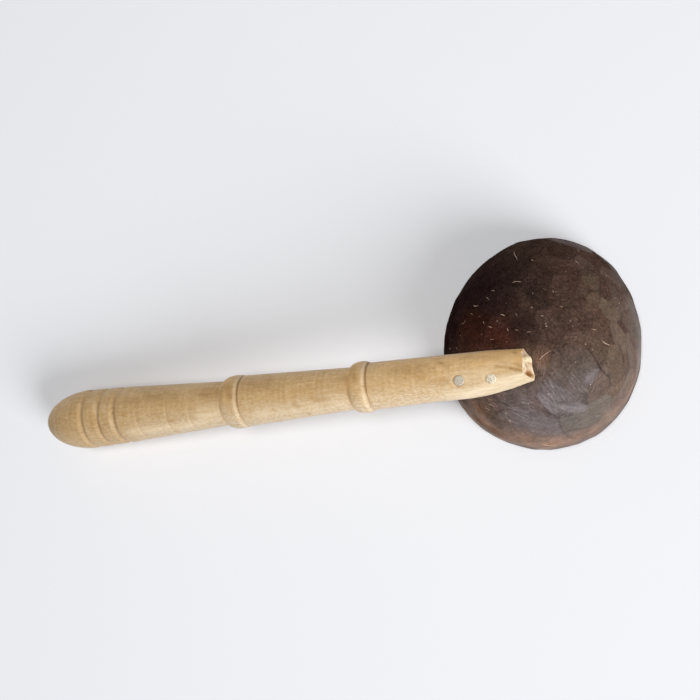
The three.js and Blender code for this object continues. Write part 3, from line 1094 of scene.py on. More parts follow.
def endStation(side, height):
    # Skewed plane of the handle's end, with both corners cut back and a splinter left proud low down
    form, end = handleForm, tornEnd
    plane = form["length"] - np.tan(form["endTurn"]) * side - np.tan(form["endLean"]) * height
    splinter = end["splinter"] * bell(side - end["splinterSide"], end["splinterSpread"])
    proud = splinter * ease(*end["splinterHeights"], height)
    farCut = end["farCut"] * np.maximum(side - end["farCorner"], 0)
    nearCut = end["nearCut"] * np.maximum(end["nearCorner"] - side, 0)
    spots = np.stack(np.broadcast_arrays(side, height, 0.0), axis=-1)
    wave = ripple(spots, end["raggedLength"], end["raggedSeed"])
    torn = end["ragged"] * np.clip(wave + end["raggedBias"], 0, 2) / 2
    return plane + proud - farCut - nearCut - torn * ease(*end["raggedHeights"], height)


nailForm = {
    "fromTip": {"nail_rim": 30.9 * mm, "nail_crown": 17.4 * mm},
    "side": {"nail_rim": -2.2 * mm, "nail_crown": -2.8 * mm},
    "headRadius": 2.2 * mm,
    "headThickness": 1.0 * mm,
    "headBevel": 0.3 * mm,
    "headProud": 0.12 * mm,
    "headCrown": 0.12 * mm,
    "hatch": {"nail_rim": 0.02 * mm, "nail_crown": 0.09 * mm},
    "hatchPitch": 0.95 * mm,
    "shankRadius": 1.1 * mm,
    "searchDepth": 40 * mm,
    "clinchClear": 0.9 * mm,
    "clinchLift": np.radians(8),
    "clinchBend": 2.6 * mm,
    "clinchLeg": 5.5 * mm,
    "pointLength": 2.6 * mm,
    "sides": 36,
    "topRings": 12,
    "headRings": 15,
    "dimple": {"nail_rim": 0.55 * mm, "nail_crown": 0.2 * mm},
    "dimpleRadius": 2.75 * mm,
    "dimpleShift": 0.5 * mm,
    "dimpleEdge": 0.4 * mm,
    "dimpleAbove": 3 * mm,
    "bevelSoft": 0.3,
    "firstRing": 0.08,
    "neck": 0.2 * mm,
    "shaftRings": 14,
    "bendRings": 12,
    "legRings": 6,
}


def nailSpot(name):
    # Middle of a nail's head top in handle coordinates
    along = handleForm["length"] - nailForm["fromTip"][name]
    radius = turnedRadius(np.array(along))
    side = nailForm["side"][name]
    height = np.sqrt(radius ** 2 - side ** 2) + nailForm["headProud"]
    return np.array([along, side, float(height)])


def handleStations(form, trials=6000):
    # Rows close together where the profile is worked and far apart on plain stretches
    first, second = form["firstBead"], form["secondBead"]
    worked = [(form["buttLength"] - mm, form["gripStart"] + mm),
              (first["start"] - mm, beadEnd(first) + mm), (second["start"] - mm, beadEnd(second) + mm),
              (form["workedFrom"], form["length"])]
    reach = form["scribeWidth"]
    worked += [(station - reach, station + reach) for station in form["scribes"]]
    along = np.linspace(form["buttLength"], form["length"] - form["endStretch"], trials)
    busy = np.zeros(len(along), bool)
    for start, end in worked:
        busy |= (along > start) & (along < end)
    pace = np.where(busy, 1 / form["fine"], 1 / form["coarse"])
    passed = np.concatenate([[0], np.cumsum((pace[1:] + pace[:-1]) / 2 * np.diff(along))])
    rows = np.interp(np.arange(0, passed[-1], 1), passed, along)
    bow = np.linspace(0, np.pi / 2, form["buttRows"] + 1)[1:-1]
    return np.concatenate([form["buttLength"] * (1 - np.cos(bow)), rows])


def makeHandle(form, materials):
    angle = evenTurns(form["columns"])
    along, turn = np.meshgrid(handleStations(form), angle, indexing="ij")
    side, height, fresh = handleRing(along, turn)
    # Rows of the last stretch close up on the skewed end, found by three rounds of trial
    share = np.linspace(0, 1, form["endRows"] + 1)[1:, None]
    start = form["length"] - form["endStretch"]
    endAlong = start + share * form["endStretch"] * np.ones_like(angle)
    endTurn = np.broadcast_to(angle, endAlong.shape)
    for _ in range(3):
        endSide, endHeight, endFresh = handleRing(endAlong, endTurn)
        endAlong = start + share * (endStation(endSide[-1], endHeight[-1]) - start)
    # The end face shrinks ring by ring to its middle, torn and hollowed
    shrink = np.linspace(1, 0, form["capRows"] + 2)[1:-1, None]
    heart = np.array([endSide[-1].mean(), endHeight[-1].mean()])
    capSide = heart[0] + shrink * (endSide[-1] - heart[0])
    capHeight = heart[1] + shrink * (endHeight[-1] - heart[1])
    capAlong = endStation(capSide, capHeight) + tearOff(capSide, capHeight, shrink)
    heartAlong = endStation(*heart) + tearOff(*heart, 0.0)
    along = np.vstack([along, endAlong, capAlong])
    side = np.vstack([side, endSide, capSide])
    height = np.vstack([height, endHeight, capHeight])
    fresh = np.vstack([fresh, endFresh, np.ones_like(capSide)])
    height = height - dimples(along, side, height)
    grid = fromHandle(along, side, height)
    points = ringPoints(grid, buttEnd, fromHandle(heartAlong, *heart))
    faces = outwardFaces(points, ringFaces(*grid.shape[:2]))
    piece = newPiece("turned_handle", points, faces, materials)
    torn, inCap = np.zeros_like(fresh), np.zeros_like(fresh)
    torn[-form["capRows"]:] = 1
    inCap[-form["capRows"]:] = ease(*tornEnd["capFade"], shrink)
    values = {
        "fresh": fresh,
        "paintedShade": paintedRecessShade(along, side, height),
        "torn": torn,
        "hollow": inCap * np.clip(hollowShade(side, height), 0, 1),
        "fuzzAndSheen": fuzzAndSheenOnWood(along, side, height),
        "tone": paintedWoodLight(along, side),
    }
    values.update({name: markValues(grid, marks, onHandle) for name, marks in woodMarks.items()})
    for name, feature, shift, width, strength, sides in woodBands:
        facing = ease(*sides, side / turnedRadius(along)) if sides else 1.0
        values[name] += facing * bands(along, bandFeatures[feature] + shift, width, strength)
    for name, value in values.items():
        poles = [value[0].mean(), value[-1].mean()]
        pointValues(piece, name, np.concatenate([value.ravel(), poles]))
    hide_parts("handle")
    return piece


# Bands round the handle: tint, feature that they follow, shift, width, strength and the shares of the
# radius sideways between which they come in
upperSide, lowerSide = (-0.3, 0.4), (0.2, -0.3)
bandFeatures = {
    "beadStarts": np.array([handleForm[bead]["start"] for bead in ("firstBead", "secondBead")]),
    "beadEnds": np.array([beadEnd(handleForm[bead]) for bead in ("firstBead", "secondBead")]),
    "scribes": handleForm["scribes"],
}
# These bands are painted light and shade: golden on the upper bead flanks and at the bead feet lifts
# their shade, pale at the bead crests and on the scribes' lit walls is a painted highlight, brown at the
# bead feet and in the scribes is painted shade
woodBands = [
    ("paintedGoldenLight", "beadEnds", -6.5 * mm, 2.4 * mm, 0.42, upperSide),
    ("paintedGoldenLight", "beadStarts", 0.3 * mm, 0.9 * mm, 0.55, None),
    ("pale", "beadEnds", -1.75 * mm, 0.7 * mm, 0.55, None),
    ("brown", "beadStarts", 0.1 * mm, 0.5 * mm, 0.35, lowerSide),
    ("brown", "scribes", 0.5 * mm, 0.45 * mm, 0.22, lowerSide),
    ("pale", "scribes", -0.4 * mm, 0.45 * mm, 0.20, lowerSide),
]

# Marks on the wood: pixels of both ends, spread in millimetres and strength
# The brown marks are partly stains and partly painted shade lines beside the beads, the golden marks
# painted light on the upper side near the tip, the pale marks partly bare wood and partly painted
# highlights on the lit lower side and the groove walls
woodMarks = {
    "brown": [
        (468, 357, 500, 357.5, 1.3, 0.25), (500, 362, 523, 364.5, 0.7, 0.30),
        (518, 365, 523, 366, 1.2, 0.55), (496, 366.5, 512, 368, 0.7, 0.55),
        (510, 368, 523, 371, 0.9, 0.80), (513.5, 352, 515.5, 352.8, 0.8, 0.55),
        (461, 358.5, 470, 356, 0.8, 0.45), (433, 368, 433.6, 368.4, 0.5, 0.80),
        (440, 363, 442, 363.6, 0.6, 0.80), (438, 362, 447, 366, 1.6, 0.30),
        (169, 421, 173.5, 421.6, 1.2, 0.60), (164, 416, 168, 422, 0.6, 0.40),
        (308.4, 413.4, 309.4, 414, 0.7, 0.75), (294, 405, 298, 406.5, 1.2, 0.45),
        (273.5, 410, 275, 411, 0.6, 0.50), (314, 400, 328, 399, 1.5, 0.35),
        (148, 398, 172, 399, 3.0, 0.40), (122, 400, 140, 402, 2.0, 0.30),
        (203, 394, 221, 392, 3.0, 0.40), (344, 378, 349, 377, 2.0, 0.40),
        (443, 384.4, 448, 383, 0.5, 0.45), (361.3, 386.6, 363.4, 386.2, 0.35, 0.60),
        (361.8, 391.4, 362.8, 393, 0.35, 0.50), (364, 407.4, 366.4, 408.4, 0.35, 0.55),
        (238, 419, 240.5, 421, 0.40, 0.45), (226, 386, 230, 396, 2.0, 0.55),
        (352, 368, 355, 380, 2.0, 0.50), (250, 384, 275, 386, 3.0, 0.30),
        (395, 371, 425, 368, 3.4, 0.40), (96, 424, 101, 428, 1.4, 0.40),
    ],
    "paintedGoldenLight": [
        (450, 359, 480, 355, 2.6, 0.60), (478, 354, 523, 350.5, 2.6, 0.95),
        (474, 363, 500, 360, 2.4, 0.45), (500, 358, 523, 357, 2.6, 0.55),
        (385, 366, 450, 360, 3.0, 0.30),
    ],
    "pale": [
        (205, 416, 221, 412, 5.0, 0.45), (330, 400, 342, 403, 5.0, 0.35),
        (455, 396, 508, 386, 3.4, 0.70), (494, 382, 524, 375, 2.6, 0.55),
        (380, 398, 440, 392, 3.5, 0.10), (104, 405, 112, 424, 1.5, 0.25),
        (458, 378, 486, 373, 4.0, 0.42), (490, 366, 508, 363, 2.6, 0.42),
        (496, 374, 512, 371, 2.4, 0.22), (93, 402, 101, 425, 1.2, 0.25), (80, 405, 88, 432, 1.2, 0.25),
        (260, 414, 320, 407, 3.0, 0.30), (135, 432, 205, 423, 3.0, 0.40),
    ],
}


def onHandle(pixels):
    # Where the sight through each pixel meets the turned stick
    def measure(points):
        away = points - buttEnd
        along = away @ handleAhead
        return np.hypot(away @ handleSide, away @ handleUp) - turnedRadius(along)

    heart = buttEnd + handleForm["length"] / 2 * handleAhead
    return firstMeeting(measure, pixels, heart, handleForm["sightReach"])


def hollowAt(side, height):
    # Bell curve round the hollow's middle
    upward = (height - tornEnd["hollowHeight"]) * tornEnd["hollowSquash"]
    return bell(np.hypot(side - tornEnd["hollowSide"], upward), tornEnd["hollowSpread"])


def hollowShade(side, height):
    # Dark in the hollow, and less dark in the upper corner of the end face
    gap = np.hypot(side - tornEnd["shadeSide"], height - tornEnd["shadeHeight"])
    corner = tornEnd["shadeDark"] * bell(gap, tornEnd["shadeSpread"])
    return tornEnd["hollowDark"] * hollowAt(side, height) ** tornEnd["hollowPower"] + corner


def tearOff(side, height, shrink):
    # A hollow and uneven torn wood, fading out at the edge of the end face
    hollow = tornEnd["hollowDepth"] * hollowAt(side, height)
    spots = np.stack(np.broadcast_arrays(side, height * tornEnd["tearStretch"], 0.0), axis=-1)
    wave = ripple(spots, tornEnd["tearLength"], tornEnd["tearSeed"])
    tear = tornEnd["tearDepth"] * np.clip(wave + 1, 0, 2) / 2
    fade = np.sqrt(np.clip(1 - np.asarray(shrink) ** tornEnd["tearFade"], 0, 1))
    return -(hollow + tear) * fade


def dimples(along, side, height):
    # Round sinks in the wood under the nail heads
    sink = np.zeros_like(along)
    for name in nailForm["fromTip"]:
        spot = nailSpot(name)
        gap = np.hypot(along - spot[0] + nailForm["dimpleShift"], side - spot[1])
        edge = nailForm["dimpleRadius"]
        under = ease(edge, edge - nailForm["dimpleEdge"], gap)
        sink += nailForm["dimple"][name] * under * (height > nailForm["dimpleAbove"])
    return sink


# Wear and painted light and shade: shares of the radius sideways, stations and heights between which each
# effect comes in
handleWearAndLight = {
    "fuzzSide": (-0.1, 1.0),
    "fuzzHeight": (-2 * mm, 3 * mm),
    "fuzzAlong": (35 * mm, 75 * mm),
    "fuzzLeast": 0.25,
    "paintedGripShade": 0.745,
    "paintedShadeAlong": (60 * mm, 230 * mm),
    "paintedTipLight": 0.195,
    "paintedLightSide": (-0.5, 1.0),
    "paintedSideLight": 0.3,
    "paintedSideTipLight": 0.35,
    "paintedSideTipAlong": (170 * mm, 235 * mm),
    "paintedLightMost": 1.32,
    "paintedGrooveShade": 0.22,
    "grooveShadeShift": 0.8 * mm,
    "grooveShadeWidth": 1.9 * mm,
    "beadShadeSide": (-0.6, 0.1),
    "beadShadeLeast": 0.35,
    "beadShadeWidth": 0.55 * mm,
    "nailShadeDepth": 0.9 * mm,
}


def fuzzAndSheenOnWood(along, side, height):
    # Raised fibres and painted sheen on the near, lit side, few on the butt
    wearAndLight = handleWearAndLight
    near = ease(*wearAndLight["fuzzSide"], -side / turnedRadius(along)) * ease(*wearAndLight["fuzzHeight"], height)
    return near * (wearAndLight["fuzzLeast"] + (1 - wearAndLight["fuzzLeast"]) * ease(*wearAndLight["fuzzAlong"], along))


def paintedWoodLight(along, side):
    # Painted light and shade: the grip is painted darker, as less light falls towards the butt, and the
    # upper side paler, most near the tip, as if lit from above
    wearAndLight = handleWearAndLight
    far = ease(*wearAndLight["paintedLightSide"], side / np.maximum(turnedRadius(along), mm))
    gain = wearAndLight["paintedSideLight"] + wearAndLight["paintedSideTipLight"] * ease(*wearAndLight["paintedSideTipAlong"], along)
    tone = wearAndLight["paintedGripShade"] + wearAndLight["paintedTipLight"] * ease(*wearAndLight["paintedShadeAlong"], along)
    return np.minimum(tone + gain * far, wearAndLight["paintedLightMost"])


def bands(along, stations, width, strength):
    # A band round the handle at each station, a bell curve of the distance to it
    return strength * sum(bell(along - station, width) for station in stations)


def paintedRecessShade(along, side, height):
    # Painted shade in the grooves, in the cuts beside the beads, most on the upper side, and in the
    # dimples round the nails
    wearAndLight = handleWearAndLight
    grooves = handleForm["grooves"] + wearAndLight["grooveShadeShift"]
    beadCuts = bandFeatures["beadEnds"] - handleForm["beadCutWidth"]
    upper = ease(*wearAndLight["beadShadeSide"], side / turnedRadius(along))
    upper = wearAndLight["beadShadeLeast"] + (1 - wearAndLight["beadShadeLeast"]) * upper
    paintedShade = bands(along, grooves, wearAndLight["grooveShadeWidth"], wearAndLight["paintedGrooveShade"])
    paintedShade = paintedShade + bands(along, beadCuts, wearAndLight["beadShadeWidth"], 1.0) * upper
    return np.clip(paintedShade + dimples(along, side, height) / wearAndLight["nailShadeDepth"], 0, 1)


handleWood = {
    # The next colour is painted light, laid on the bead flanks and the upper side near the tip
    "paintedGoldenLight": (0.960, 0.590, 0.245),
    "pale": (0.735, 0.508, 0.250),
    "tan": (0.570, 0.348, 0.144),
    "brown": (0.390, 0.210, 0.068),
    "fuzz": (0.840, 0.720, 0.540),
    "fresh": (0.910, 0.785, 0.575),
    "freshShade": (0.720, 0.540, 0.310),
    "torn": (0.880, 0.710, 0.490),
    "tornShade": (0.500, 0.270, 0.110),
    "hollow": (0.300, 0.122, 0.032),
    # The next colour is painted shade for the grooves, bead cuts and nail dimples
    "paintedShade": (0.290, 0.160, 0.065),
    "roughness": (0.49, 0.63),
    "shine": 0.4,
    "sheen": 0.14,
    "sheenRoughness": 0.4,
    "speckles": {
        "blotch": {"scale": (45, 80, 80), "detail": 5, "roughness": 0.6},
        "mottle": {"scale": (420, 900, 900), "detail": 6, "roughness": 0.7},
        "grain": {"scale": (70, 900, 900), "detail": 5, "roughness": 0.62, "distortion": 0.3},
        "lathe": {"scale": (750, 28, 28), "detail": 4, "roughness": 0.7},
        "fuzz": {"scale": (600, 2000, 2000), "detail": 4, "roughness": 0.65},
        "pores": {"scale": (520, 1500, 1500), "detail": 3, "roughness": 0.6},
        "split": {"scale": (220, 480, 300), "detail": 4},
    },
}


def handleWoodMaterial(look, slope):
    material, tree, shader = newMaterial("turned_wood")
    sockets = speckles(tree, look["speckles"], turn=(0, slope, 0))
    blotch, mottle, grain, lathe, fuzz, pores, split = sockets
    # Pale and tan wood with brown stains and pores, pale fuzz with painted sheen on the lit side, and the
    # painted light and shade of the tone
    share = spread(tree, blotch, 0.3, 0.7, 0, 0.5)
    share = reckon(tree, "ADD", share, spread(tree, mottle, 0.32, 0.68, -0.15, 0.65))
    share = reckon(tree, "ADD", share, spread(tree, grain, 0.35, 0.7, -0.2, 0.3))
    share = reckon(tree, "ADD", share, spread(tree, lathe, 0.35, 0.7, -0.25, 0.38))
    colour = blend(tree, share, look["pale"], look["tan"])
    stain = times(tree, spread(tree, blotch, 0.52, 0.75), spread(tree, grain, 0.4, 0.7))
    colour = blend(tree, times(tree, stain, 0.55), colour, look["brown"])
    colour = blend(tree, spread(tree, pores, 0.56, 0.72, 0, 0.4), colour, look["brown"])
    colour = blend(tree, spread(tree, fuzz, 0.5, 0.70, 0, 0.4), colour, look["fuzz"])
    tufts = spread(tree, fuzz, 0.42, 0.60, 0.1, 0.95)
    colour = blend(tree, times(tree, attribute(tree, "fuzzAndSheen"), tufts), colour, look["fuzz"])
    colour = shade(tree, colour, attribute(tree, "tone"))
    # Bare wood on the knife's flats, then the bands and marks: pale is partly bare wood and partly
    # painted highlight, golden is painted light, brown is partly stains and partly painted shade
    bare = blend(tree, spread(tree, grain, 0.35, 0.7), look["fresh"], look["freshShade"])
    colour = blend(tree, times(tree, attribute(tree, "fresh"), 0.8), colour, bare)
    uneven = spread(tree, mottle, 0.3, 0.7, 0.5, 1.3)
    colour = blend(tree, times(tree, attribute(tree, "pale"), uneven), colour, bare)
    colour = blend(tree, attribute(tree, "paintedGoldenLight"), colour, look["paintedGoldenLight"])
    colour = blend(tree, times(tree, attribute(tree, "brown"), uneven), colour, look["brown"])
    # The torn end with its hollow and its painted shade, then painted shade in the grooves, bead cuts and
    # nail dimples
    ragged = blend(tree, spread(tree, split, 0.50, 0.66, 0, 0.7), look["torn"], look["tornShade"])
    ragged = blend(tree, attribute(tree, "hollow"), ragged, look["hollow"])
    colour = blend(tree, attribute(tree, "torn"), colour, ragged)
    colour = blend(tree, times(tree, attribute(tree, "paintedShade"), 0.75), colour, look["paintedShade"])
    normal = relief(tree, lathe, 0.2, 0.1 * mm)
    normal = relief(tree, mottle, 0.3, 0.12 * mm, normal)
    feed(tree, shader, {
        "Base Color": colour,
        "Roughness": spread(tree, mottle, 0.3, 0.7, *look["roughness"]),
        "Specular IOR Level": look["shine"],
        "Sheen Weight": spread(tree, attribute(tree, "torn"), 0, 1, look["sheen"], 0),
        "Sheen Roughness": look["sheenRoughness"],
        "Normal": relief(tree, fuzz, 0.3, 0.1 * mm, normal),
    })
    return material


handle = makeHandle(handleForm, [handleWoodMaterial(handleWood, handleForm["slope"])])
print("handle turned,", len(handle.data.polygons), "faces")


# Nails: a hammered head, a straight shank and an end that is clinched over inside the bowl

def clinchAngle(spot):
    # Depth at which the shank leaves the shell's inside, and the wall's angle there
    def exitDepth(along):
        start = fromHandle(along, spot[1], spot[2])

        def insideBowl(depth):
            return domeShare(start - depth * handleUp, shellForm["wall"]) < 1

        return float(halve(insideBowl, 0.0, nailForm["searchDepth"]))

    depth = exitDepth(spot[0])
    deeper = exitDepth(spot[0] - nailForm["shankRadius"]) - depth
    return depth, np.arctan2(nailForm["shankRadius"], deeper)


def nailRings(name):
    # Rings of the head from its middle outwards, then down the shank, round the bend and to the point
    form = nailForm
    spot = nailSpot(name)
    wallDepth, wallAngle = clinchAngle(spot)
    straight = wallDepth + (form["shankRadius"] + form["clinchClear"]) / np.sin(wallAngle)
    bendAngle = wallAngle - form["clinchLift"]
    rim, bevel, thick, shank = (
        form[key] for key in ("headRadius", "headBevel", "headThickness", "shankRadius"))
    soft = bevel * form["bevelSoft"]
    topRadius = np.linspace(form["firstRing"], 1, form["topRings"]) * (rim - bevel)
    headRadius = np.concatenate([topRadius, [rim - soft, rim, rim, shank]])
    headDepth = np.concatenate([np.zeros(form["topRings"]), [soft, bevel, thick, thick]])
    shaftDepth = np.linspace(thick + form["neck"], straight, form["shaftRings"])
    bend = np.linspace(0, bendAngle, form["bendRings"])[1:]
    leg = np.linspace(0, form["clinchLeg"], form["legRings"])[1:]
    tip = np.linspace(0, form["pointLength"], form["legRings"])[1:-1]
    run = np.concatenate([leg, form["clinchLeg"] + tip])
    endRun = form["clinchLeg"] + form["pointLength"]
    upright = np.zeros(len(headDepth) + len(shaftDepth))
    sinks = np.concatenate([headDepth, shaftDepth, straight + form["clinchBend"] * np.sin(bend)])
    backs = np.concatenate([upright, form["clinchBend"] * (1 - np.cos(bend))])
    end = (spot[0] - backs[-1] - endRun * np.sin(bendAngle), spot[1],
           spot[2] - sinks[-1] - endRun * np.cos(bendAngle))
    sinks = np.concatenate([sinks, sinks[-1] + run * np.cos(bendAngle)])
    backs = np.concatenate([backs, backs[-1] + run * np.sin(bendAngle)])
    tilt = np.concatenate([upright, bend, np.full(len(run), bendAngle)])[:, None]
    shaft = np.full(len(shaftDepth) + len(bend) + len(leg), shank)
    radius = np.concatenate([headRadius, shaft, shank * (1 - tip / form["pointLength"])])[:, None]
    turn = evenTurns(form["sides"])
    ahead = radius * np.cos(turn)
    side = radius * np.sin(turn)
    along = spot[0] - backs[:, None] + ahead * np.cos(tilt)
    height = spot[2] - sinks[:, None] - ahead * np.sin(tilt)
    # The hammer leaves a low crown and a hatch of small dents on the head
    crown = form["headCrown"] * (1 - (radius / rim) ** 2)
    pitch = fullTurn / form["hatchPitch"]
    dents = form["hatch"][name] * (np.sin((ahead + side) * pitch) * np.sin((ahead - side) * pitch))
    height[:form["topRings"]] += (crown + dents)[:form["topRings"]]
    top = fromHandle(spot[0], spot[1], spot[2] + form["headCrown"])
    return fromHandle(along, spot[1] + side, height), top, fromHandle(*end)


def makeNail(name, materials):
    grid, top, point = nailRings(name)
    points = ringPoints(grid, top, point)
    faces = outwardFaces(points, ringFaces(*grid.shape[:2]))
    piece = newPiece("clinched_" + name, points, faces, materials)
    onHead = np.zeros(grid.shape[:2])
    onHead[:nailForm["headRings"]] = 1
    pointValues(piece, "head", np.concatenate([onHead.ravel(), [1, 0]]))
    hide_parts(name)
    return piece


nailSteel = {
    "nail_rim": {"bright": (0.780, 0.710, 0.580), "dull": (0.640, 0.560, 0.430), "dents": 0.15},
    "nail_crown": {"bright": (1.000, 0.900, 0.720), "dull": (0.920, 0.800, 0.610), "dents": 0.70},
    "dent": (0.330, 0.235, 0.135),
    "shank": (0.360, 0.345, 0.325),
    "metal": (0.85, 0.2),
    "roughness": (0.54, 0.74),
    "speckles": {
        "stain": {"scale": (650, 650, 650), "detail": 4},
        "dents": {"scale": (1300, 1300, 1300), "detail": 1},
    },
}


def nailSteelMaterial(name, look):
    material, tree, shader = newMaterial("steel_of_" + name)
    own = look[name]
    stain, dents = speckles(tree, look["speckles"])
    colour = blend(tree, spread(tree, stain, 0.35, 0.7), own["bright"], own["dull"])
    colour = blend(tree, spread(tree, dents, 0.56, 0.64, 0, own["dents"]), colour, look["dent"])
    feed(tree, shader, {
        "Base Color": blend(tree, attribute(tree, "head"), look["shank"], colour),
        "Metallic": spread(tree, attribute(tree, "head"), 0, 1, *look["metal"]),
        "Roughness": spread(tree, stain, 0.3, 0.7, *look["roughness"]),
        "Normal": relief(tree, stain, 0.3, 0.1 * mm),
    })
    return material


nails = [makeNail(name, [nailSteelMaterial(name, nailSteel)]) for name in nailForm["fromTip"]]
print("nails driven:", len(nails))


# Husk fibres: pale strands that lie on the shell, some with pixels of both ends and a thickness in mm

huskForm = {
    "seen": [
        (539, 360, 551.5, 350.5, 0.24), (514.4, 251.8, 516.2, 259, 0.24),
        (511.5, 282.3, 521, 281, 0.17), (602.5, 340, 610.5, 346.5, 0.22),
        (541.5, 444.2, 556, 447, 0.24), (473, 304.5, 477, 306, 0.24), (485.5, 297, 489, 299, 0.2),
        (491, 290, 494.5, 290.6, 0.16), (500, 314.5, 504.8, 315, 0.28),
        (488, 326.5, 491.6, 327.2, 0.24), (506.5, 328, 508, 331, 0.16), (514.5, 329.5, 518, 330, 0.17),
        (526.5, 332.5, 531, 331, 0.18), (489.5, 339, 493.6, 339.5, 0.22), (515.5, 313, 517, 316, 0.15),
        (540.5, 315.4, 543.5, 315.6, 0.2), (531, 260, 533.5, 260.6, 0.18), (532, 292, 533, 293.6, 0.14),
        (577.5, 249, 580, 250.8, 0.18), (575.4, 260.4, 578.2, 262.6, 0.18),
        (553, 289, 553.4, 291.4, 0.18), (592.6, 328.6, 597, 329.8, 0.24), (560, 306, 563, 307, 0.22),
        (605.6, 274.4, 607, 276, 0.16), (619.4, 301.8, 620.6, 303.6, 0.16),
        (542, 287.4, 547, 289.4, 0.1), (488, 399.6, 492.4, 400.6, 0.2),
        (487.8, 404.6, 494.4, 406.6, 0.2), (484, 408.4, 489.4, 410.6, 0.17),
        (474.6, 401, 477, 402.6, 0.17), (471, 402, 474, 403.6, 0.17), (475, 409, 477.6, 414, 0.15),
        (504.8, 413.4, 506.2, 414.4, 0.22), (508.4, 420.8, 510.8, 422.6, 0.22),
        (521.8, 433, 523.6, 434.2, 0.18), (573, 325, 573.6, 326.6, 0.16),
        (460.6, 323.6, 464, 323, 0.14), (469.8, 313.2, 472, 314, 0.15),
        (482.6, 321, 483.4, 323.4, 0.16),
    ],
    "thinning": 0.62,
    "scattered": 34,
    "seed": 4,
    "length": (0.4 * mm, 1.3 * mm),
    "thickness": (0.03 * mm, 0.07 * mm),
    "heights": (0.08, 0.98),
    "rises": (0.02, np.pi / 2 - 0.01),
    "bend": 0.07,
    "bends": (1, 2.2),
    "steps": 9,
    "sides": 6,
    "swell": 0.75,
    "pointed": 0.12,
    "lift": 0.35,
}


def strandPaths(form):
    # Chords laid on the scraped shell, bowed sideways by a share of their length
    rng = np.random.default_rng(form["seed"])
    count = form["scattered"]
    angle = rng.uniform(0, fullTurn, count)
    middles = domePoint(angle, np.arcsin(rng.uniform(*form["heights"], count)))
    ways = unit(np.cross(domeNormal(middles), rng.normal(size=(count, 3))))
    reach = ways * rng.uniform(*form["length"], count)[:, None] / 2
    starts = np.vstack([onShell([strand[:2] for strand in form["seen"]]), middles - reach])
    ends = np.vstack([onShell([strand[2:4] for strand in form["seen"]]), middles + reach])
    seenThick = [strand[4] * form["thinning"] * mm for strand in form["seen"]]
    thick = np.concatenate([seenThick, rng.uniform(*form["thickness"], count)])
    share = np.linspace(0, 1, form["steps"])[None, :, None]
    chord = (ends - starts)[:, None]
    normals = domeNormal((starts + ends) / 2)[:, None]
    bow = np.cross(normals, chord) * form["bend"] * rng.normal(0, 1, (len(starts), 1, 1))
    wave = np.sin(share * np.pi * rng.uniform(*form["bends"], (len(starts), 1, 1)))
    away = starts[:, None] + chord * share + bow * wave - shellMiddle
    angle = np.arctan2(away[..., 1], away[..., 0])
    outward = np.hypot(away[..., 0], away[..., 1]) / rimOutline(angle)
    rise = np.arctan2(away[..., 2] / shellForm["crown"], outward)
    return scrapedPoint(angle, np.clip(rise, *form["rises"])), thick


def makeHusk(form, materials):
    # Round tubes that swell from a point to the middle and back, all strands at once
    path, thick = strandPaths(form)
    normal = domeNormal(path)
    side = unit(np.cross(normal, unit(np.gradient(path, axis=1))))[:, :, None]
    normal = normal[:, :, None]
    arch = np.sin(np.linspace(form["pointed"], np.pi - form["pointed"], form["steps"]))
    swell = 1 - form["swell"] + form["swell"] * arch
    radius = (thick[:, None] * swell)[..., None, None]
    turn = evenTurns(form["sides"])[None, None, :, None]
    tubes = path[:, :, None] + radius * (np.cos(turn) * side + (np.sin(turn) + form["lift"]) * normal)
    points = [ringPoints(tube, line[0], line[-1]) for tube, line in zip(tubes, path)]
    size = form["steps"] * form["sides"] + 2
    faces = []
    for strand in range(len(points)):
        faces += ringFaces(form["steps"], form["sides"], strand * size)
    points = np.vstack(points)
    piece = newPiece("husk_fibres", points, outwardFaces(points, faces), materials)
    return piece


huskFibre = {
    "pale": (0.660, 0.480, 0.350),
    "brown": (0.330, 0.190, 0.110),
    "roughness": 0.7,
    "speckle": {"scale": (160, 160, 160), "detail": 2},
}


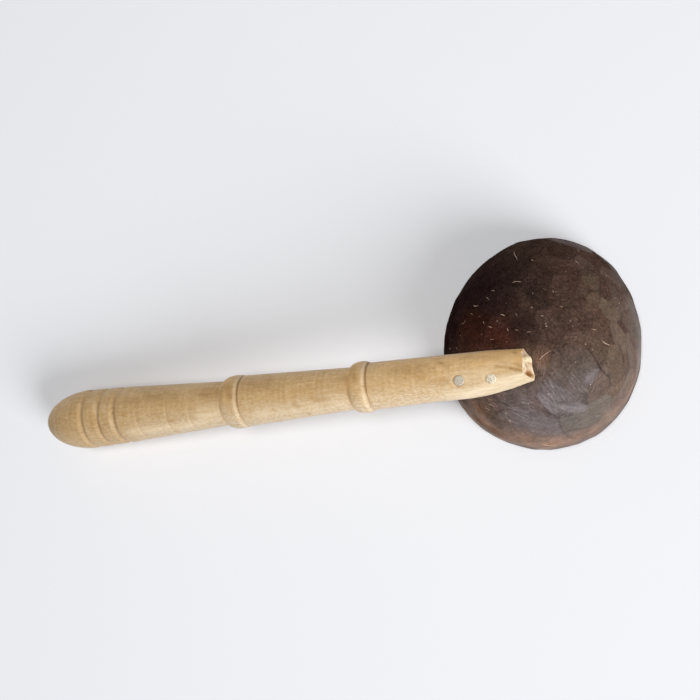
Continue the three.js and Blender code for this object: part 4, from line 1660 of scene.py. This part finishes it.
def huskFibreMaterial(look):
    material, tree, shader = newMaterial("husk_fibre")
    patch = objectSpeckle(tree, **look["speckle"])
    colour = blend(tree, spread(tree, patch, 0.4, 0.65), look["pale"], look["brown"])
    feed(tree, shader, {"Base Color": colour, "Roughness": look["roughness"]})
    return material


husk = makeHusk(huskForm, [huskFibreMaterial(huskFibre)])
print("husk fibres laid,", len(husk.data.polygons), "faces")


# Floor and studio light

studio = {
    "floorSide": 30.0,
    "floorDrop": 0.1 * mm,
    "floorColour": (0.870, 0.885, 0.915),
    "floorRoughness": 0.85,
    "skyColour": (0.90, 0.94, 1.0),
    "skyStrength": 0.115,
    "lamps": [
        {"name": "window_light", "place": (2.00, -1.96, 1.62), "size": 2.1, "power": 85.0,
         "colour": (0.99, 0.99, 1.0), "glossy": True},
        {"name": "ceiling_light", "place": (0.08, 0.02, 1.90), "size": 0.75, "power": 19.4,
         "colour": (1.0, 0.985, 0.97), "glossy": False},
    ],
    "aim": (0.05, 0.0, 0.02),
}


def makeFloor(settings):
    half = settings["floorSide"] / 2
    corners = np.array([[-half, -half], [half, -half], [half, half], [-half, half]])
    points = np.column_stack([corners, np.full(4, -settings["floorDrop"])])
    material, tree, shader = newMaterial("pale_floor")
    feed(tree, shader, {"Base Color": settings["floorColour"], "Roughness": settings["floorRoughness"]})
    floor = newObject("studio_floor", points, [[0, 1, 2, 3]], [material])


def makeLights(settings):
    world = bpy.data.worlds.new("studio_sky")
    world.use_nodes = True
    sky = world.node_tree.nodes["Background"]
    sky.inputs["Color"].default_value = (*settings["skyColour"], 1)
    sky.inputs["Strength"].default_value = settings["skyStrength"]
    scene.world = world
    for lamp in settings["lamps"]:
        data = bpy.data.lights.new(lamp["name"], "AREA")
        data.shape = "DISK"
        data.size = lamp["size"]
        data.energy = lamp["power"]
        data.color = lamp["colour"]
        light = bpy.data.objects.new(lamp["name"], data)
        light.visible_glossy = lamp["glossy"]
        scene.collection.objects.link(light)
        place = np.array(lamp["place"])
        back = unit(place - np.array(settings["aim"]))
        right = unit(np.cross((0, 0, 1), back))
        light.matrix_world = placing(right, np.cross(back, right), back, place)


makeFloor(studio)
makeLights(studio)
scene.view_settings.view_transform = "Standard"
print("stage lit")
